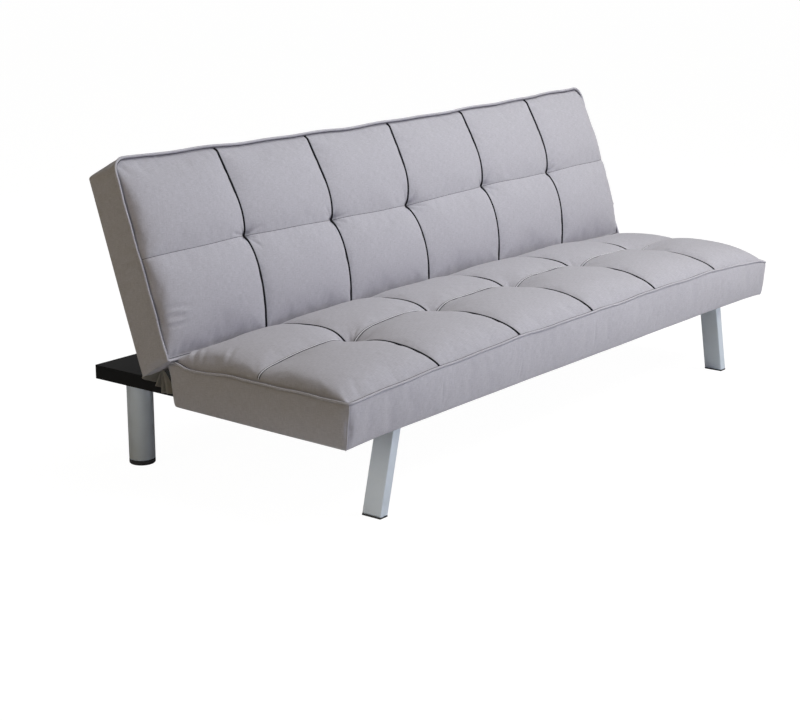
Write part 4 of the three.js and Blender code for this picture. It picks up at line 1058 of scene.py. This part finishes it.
stitch_and_crease_shade_line(seat, closed=False, inset=5 * MM, lift=1.3 * MM)
stitch_and_crease_shade_line(back, closed=True, inset=4.6 * MM, lift=0.2 * MM)
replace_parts(welt(seat, closed=False), "seat_piping")
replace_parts(welt(back, closed=True), "back_piping")
print("welts", [round(2 * pad.welt / MM, 1) for pad in (seat, back)], "mm thick")

# %% [markdown]
# ## Seams
# Five dark cords run from edge to edge and divide each cushion into columns. A seam in the cushion's own
# cloth crosses them halfway, and a hidden twine pulls each crossing down into a tuft. On the seat the seam's
# folded lip is painted lighter than that cloth, as a painted highlight.

# %% Dark cords and cross seams
CORD_RADIUS = 2.6 * MM
CORD_LIFT = 1.7 * MM
LIP_RADIUS = 1.6 * MM
ON_FACE = 0.01
CROSS_SPAN = (-0.997, 0.997)


def seam_points(pad, piece, fixed, value, running, lift, span):
    """The points of the finished cushion along one seam, in order, lifted a little out of their groove."""
    shares = noted(piece, running)
    on_seam = (noted(piece, "ring") < ON_FACE) & (np.abs(noted(piece, fixed) - value) < CLOSE)
    chosen = on_seam & (shares >= span[0]) & (shares <= span[1])
    order = np.flatnonzero(chosen)[np.argsort(shares[chosen])]
    return points_of(piece)[order] + direction(pad, 0, 0, 1) * lift


def join(name, pieces):
    bpy.ops.object.select_all(action="DESELECT")
    for piece in pieces:
        piece.select_set(True)
    bpy.context.view_layer.objects.active = pieces[0]
    bpy.ops.object.join()
    pieces[0].name = name
    return pieces[0]


def lay_seams(pad, piece, span, thread_radius, lip_lift):
    """The dark cords and the cross seam: one thread, or a folded lip with a thread on both sides.
    The threads stand for the stitching, and their dark grey is painted shade of the fold's crease.
    """
    cords = []
    for seam in range(1, COLUMNS):
        points = seam_points(pad, piece, "across", seam_share(seam), "along", CORD_LIFT, span)
        cords.append(bar_through("cord", points, CORD_RADIUS))
    dress_cloth(join(pad.name + "_dark_seams", cords), pad.place, seam_cloth, pad.body)
    points = seam_points(pad, piece, "along", CROSS_SEAM, "across", lip_lift, CROSS_SPAN)
    beside = (LIP_RADIUS + thread_radius) if lip_lift else 0
    threads = []
    for offset in sorted({-beside, beside}):
        threads.append(bar_through("thread", points + direction(pad, 0, 1, 0) * offset, thread_radius))
    # The dark threads paint the shade of the cross seam's fold, or of the grooves beside its lip.
    dress_cloth(join(pad.name + "_cross_thread", threads), pad.place, thread_and_crease_shade_cloth, pad.body)
    if lip_lift:
        # The lip's cloth is painted lighter than the cushion, as a painted highlight.
        lip = bar_through(pad.name + "_cross_lip", points, LIP_RADIUS)
        dress_cloth(lip, pad.place, lip_painted_highlight_cloth, pad.body)


lay_seams(seat, seat_cushion, (0.0, 0.93), 1 * MM, 1.6 * MM)
lay_seams(back, back_cushion, (0.0, 1.0), 0.6 * MM, 0)
print("seams laid")

# %% [markdown]
# Where two pieces of the border meet at a corner, their seam shows as a thin upright ridge. The seat has it
# at its two front corners, and the back at its two lower corners. The ridge follows the corner points of the
# border.


# %% Corner seams of the borders
RIDGE_RADIUS = 1.4 * MM
AT_CORNER = 1e-4
RIDGE_RINGS = (1.2, len(BORDER_SHARES) + 0.1)


def corner_seam(pad, piece, side):
    """A ridge from just under the welt to the hem."""
    ring = noted(piece, "ring")
    corner = (np.abs(noted(piece, "across") - side) < AT_CORNER) & (noted(piece, "along") < AT_CORNER)
    on_border = corner & (ring > RIDGE_RINGS[0]) & (ring < RIDGE_RINGS[1])
    order = np.flatnonzero(on_border)[np.argsort(ring[on_border])]
    return bar_through("ridge", points_of(piece)[order], RIDGE_RADIUS)


for pad, piece in ((seat, seat_cushion), (back, back_cushion)):
    ridges = join(pad.name + "_corner_seams", [corner_seam(pad, piece, side) for side in (-1, 1)])
    dress_cloth(ridges, pad.place, upholstery, pad.body)
print("corner seams laid")

# %% [markdown]
# ## Cloth at the back of the sofa and under it
# The rear of the back is closed by one panel of the same cloth, drawn tight over the frame, so that the
# straps of webbing under it show a little. A black lining closes the seat from below. It hangs a little
# between its staples. Both start as a grid, get their shape from sums, and get a real thickness with
# Solidify.


# %% A panel of cloth with a thickness
def thicken(piece, thickness):
    wall = piece.modifiers.new("wall", "SOLIDIFY")
    wall.thickness = thickness
    wall.offset = 0.0
    only(piece)
    bpy.ops.object.modifier_apply(modifier="wall")


def grid_piece(name, across, along):
    bpy.ops.object.select_all(action="DESELECT")
    bpy.ops.mesh.primitive_grid_add(x_subdivisions=across, y_subdivisions=along, size=2)
    piece = bpy.context.active_object
    piece.name = name
    flat = points_of(piece)
    return piece, flat[:, 0], (flat[:, 1] + 1) / 2


def inside(across, along, power):
    """1 in the middle of a grid and 0 on its rim. A higher power stays near 1 for longer."""
    return (1 - across**power) * (1 - (2 * along - 1) ** power)


PANEL_THICKNESS = 1.2 * MM
PANEL_INSET = 5.5 * MM
PANEL_OUT = 0.4 * MM
STRAP_RELIEF = 0.3 * MM
STRAPS = 7

rear_panel, across, along = grid_piece("back_rear_cloth", 120, 32)
x, y = outline(back, across, along, PANEL_INSET, 1.0)
straps = (1 + np.cos(across * math.pi * STRAPS)) * np.sin(math.pi * along) * STRAP_RELIEF
z = back.bottom - PANEL_OUT + inside(across, along, 8) * straps
set_points(rear_panel, placed(np.stack([x, y, z], axis=1), back_place))
thicken(rear_panel, PANEL_THICKNESS)
dress_cloth(rear_panel, back_place, upholstery, "back")
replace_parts(rear_panel, "back_rear_panel")

# %% Lining under the seat
LINING_SAG = 4 * MM
LINING_RIPPLE = 0.6 * MM
LINING_THICKNESS = 0.6 * MM
low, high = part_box("seat_dust_cover")

lining, across, along = grid_piece("seat_lining", 96, 24)
x = across * high.x
y = low.y + (high.y - low.y) * along
hang = inside(across, along, 4)
ripple = np.sin(across * 47) * np.sin(along * 9 + across * 5) * LINING_RIPPLE
z = (low.z + high.z) / 2 - hang * LINING_SAG + hang * ripple
set_points(lining, np.stack([x, y, z], axis=1))
thicken(lining, LINING_THICKNESS)
dress_cloth(lining, Matrix.Identity(4), lining_cloth, "base")
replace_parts(lining, "seat_dust_cover")

# %% [markdown]
# The lining is stapled along its front and rear edges. One staple is a wire that goes up, across and down.
# The rest are copies of its points.

# %% Staples
STAPLE_WIDTH = 10 * MM
STAPLE_WIRE = 0.6 * MM
STAPLE_PITCH = 60 * MM
STAPLE_FROM_EDGE = 6 * MM

count = int((high.x - low.x - STAPLE_WIDTH) / STAPLE_PITCH)
first = -STAPLE_PITCH * (count - 1) / 2
staples = []
for row_y in (low.y + STAPLE_FROM_EDGE, high.y - STAPLE_FROM_EDGE):
    for k in range(count):
        middle = first + k * STAPLE_PITCH
        left, right = middle - STAPLE_WIDTH / 2, middle + STAPLE_WIDTH / 2
        up, down = high.z, low.z - STAPLE_WIRE
        wire = [(left, row_y, up), (left, row_y, down), (right, row_y, down), (right, row_y, up)]
        staples.append(bar_through("staple", wire, STAPLE_WIRE, sides=0))
staples = join("lining_staples", staples)
dress(staples, zinc, "base")
print(2 * count, "staples")

# %% [markdown]
# ## Gussets at the hinges
# The gap between the back and the seat is closed at each end by a small gusset. Its cloth is gathered into
# uneven folds round the hinge, so that it can open and close with the back. It joins two bodies, but it is
# built in place and attached to neither. A row of the table is a fold: its reach from the hinge, its angle
# and its place across the sofa.

# %% Folded gussets
APEX_SIDE = 0.893
APEX_FROM_HINGE = Vector((0, 5 * MM, 2.6 * MM))
GUSSET_FOLDS = [
    (64 * MM, -113, 0.874),
    (60 * MM, -97, 0.889),
    (65 * MM, -85, 0.860),
    (67 * MM, -74, 0.880),
    (67 * MM, -65, 0.858),
    (60 * MM, -57, 0.883),
    (71 * MM, -46, 0.858),
    (71 * MM, -39, 0.874),
    (58 * MM, -35, 0.903),
    (53 * MM, -30, 0.909),
    (50 * MM, -26, 0.888),
    (58 * MM, -22, 0.880),
]
STEPS_A_FOLD = 6
HELD_SHARE = 0.08
reaches, angles, sides = (np.array(column) for column in zip(*GUSSET_FOLDS))
angles = np.radians(angles)
apex = Vector(hinge["pos_m"]) + APEX_FROM_HINGE

for side, name in ((-1, "left"), (1, "right")):
    gusset, across, along = grid_piece(name + "_gusset", STEPS_A_FOLD * (len(GUSSET_FOLDS) - 1), 12)
    share = (across + 1) / 2
    fold_shares = np.linspace(0, 1, len(GUSSET_FOLDS))
    spread = HELD_SHARE + (1 - HELD_SHARE) * along
    reach = smooth_table(fold_shares, reaches, share) * spread
    angle = smooth_table(fold_shares, angles, share)
    out = APEX_SIDE + (smooth_table(fold_shares, sides, share) - APEX_SIDE) * spread
    points = np.stack([side * out, apex.y + reach * np.cos(angle), apex.z + reach * np.sin(angle)], axis=1)
    set_points(gusset, points)
    thicken(gusset, PANEL_THICKNESS)
    lay_weave(gusset, Matrix.Identity(4))
    # Painted shade: the gusset takes a darker copy of the upholstery, not a cloth of its own.
    paint(gusset, gusset_painted_shade_cloth)
    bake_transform(gusset)
print("gussets folded")

# %% [markdown]
# ## Floor, light and camera
# The sofa stands in a plain white studio. The world looks white to the camera and in reflections, and is
# nearly dark otherwise; the floor looks white to the camera and reflects light like pale paper. Four soft
# lamps do the shading: the key at the front right, a broad one in front, one above, and a weak warm one at
# the left. The camera looks from the front left through a long lens.


# %% Studio
def soft_lamp(name, place, target, size, watts, tint):
    lamp = bpy.data.lights.new(name, "AREA")
    lamp.shape = "DISK"
    lamp.size = size
    lamp.energy = watts
    lamp.color = tint
    holder = bpy.data.objects.new(name, lamp)
    bpy.context.scene.collection.objects.link(holder)
    holder.location = place
    holder.rotation_euler = (Vector(target) - Vector(place)).to_track_quat("-Z", "Y").to_euler()


WORLD_LIGHT = 0.05
WORLD_TINT = (1.0, 0.86, 0.6)
FLOOR_COLOUR = (0.75, 0.75, 0.75, 1)
FLOOR_GLOW = 1.15
GLOW_SHARE = 0.85
WHITE = (1, 1, 1, 1)
CAMERA_PLACE = (-3.4406, -2.4977, 1.2485)
CAMERA_AHEAD = Vector((0.7634, 0.5933, -0.2556))
CAMERA_LENS = 78.7
soft_lamp("key_lamp", (1.2, -2.0, 2.6), (0, 0, 0.35), 1.3, 58, (1.0, 0.985, 0.9))
soft_lamp("front_lamp", (0.1, -4.2, 1.6), (0, 0, 0.3), 2.4, 45, (0.755, 0.8, 1.0))
soft_lamp("top_lamp", (0.2, -0.6, 3.4), (0, 0, 0.3), 2.2, 31, (0.865, 0.92, 1.0))
soft_lamp("left_lamp", (-3.4, 0.4, 1.6), (0, 0, 0.4), 1.8, 10.5, (1.0, 0.82, 0.5))

world = bpy.data.worlds.new("studio")
bpy.context.scene.world = world
world.use_nodes = True
sky = world.node_tree
rays = sky.nodes.new("ShaderNodeLightPath")
shown = Value(sky, rays.outputs["Is Camera Ray"]) + Value(sky, rays.outputs["Is Glossy Ray"])
shown = (shown + Value(sky, rays.outputs["Is Transmission Ray"])).math("MINIMUM", 1.0)
backdrop = mix_colours(sky, shown, [WORLD_LIGHT * tint for tint in WORLD_TINT] + [1.0], WHITE)
sky.links.new(backdrop.socket, sky.nodes["Background"].inputs["Color"])

bpy.ops.object.select_all(action="DESELECT")
bpy.ops.mesh.primitive_plane_add(size=40)
floor = bpy.context.active_object
floor.name = "floor"
material, tree, shader = new_material("white_floor", Roughness=0.9)
shader.inputs["Base Color"].default_value = FLOOR_COLOUR
glow = node(tree, "ShaderNodeEmission", {}, {"Color": WHITE, "Strength": FLOOR_GLOW})
seen = Value(tree, tree.nodes.new("ShaderNodeLightPath").outputs["Is Camera Ray"])
blend = node(tree, "ShaderNodeMixShader", {}, [seen * GLOW_SHARE])
tree.links.new(shader.outputs[0], blend.socket.node.inputs[1])
tree.links.new(glow.socket, blend.socket.node.inputs[2])
tree.links.new(blend.socket, tree.nodes["Material Output"].inputs["Surface"])
floor.data.materials.append(material)

lens = bpy.data.cameras.new("camera")
lens.lens = CAMERA_LENS
camera = bpy.data.objects.new("camera", lens)
bpy.context.scene.collection.objects.link(camera)
camera.location = CAMERA_PLACE
camera.rotation_euler = CAMERA_AHEAD.to_track_quat("-Z", "Y").to_euler()
bpy.context.scene.camera = camera
bpy.context.scene.view_settings.view_transform = "Standard"
print("lamps:", [light.name for light in bpy.data.lights])
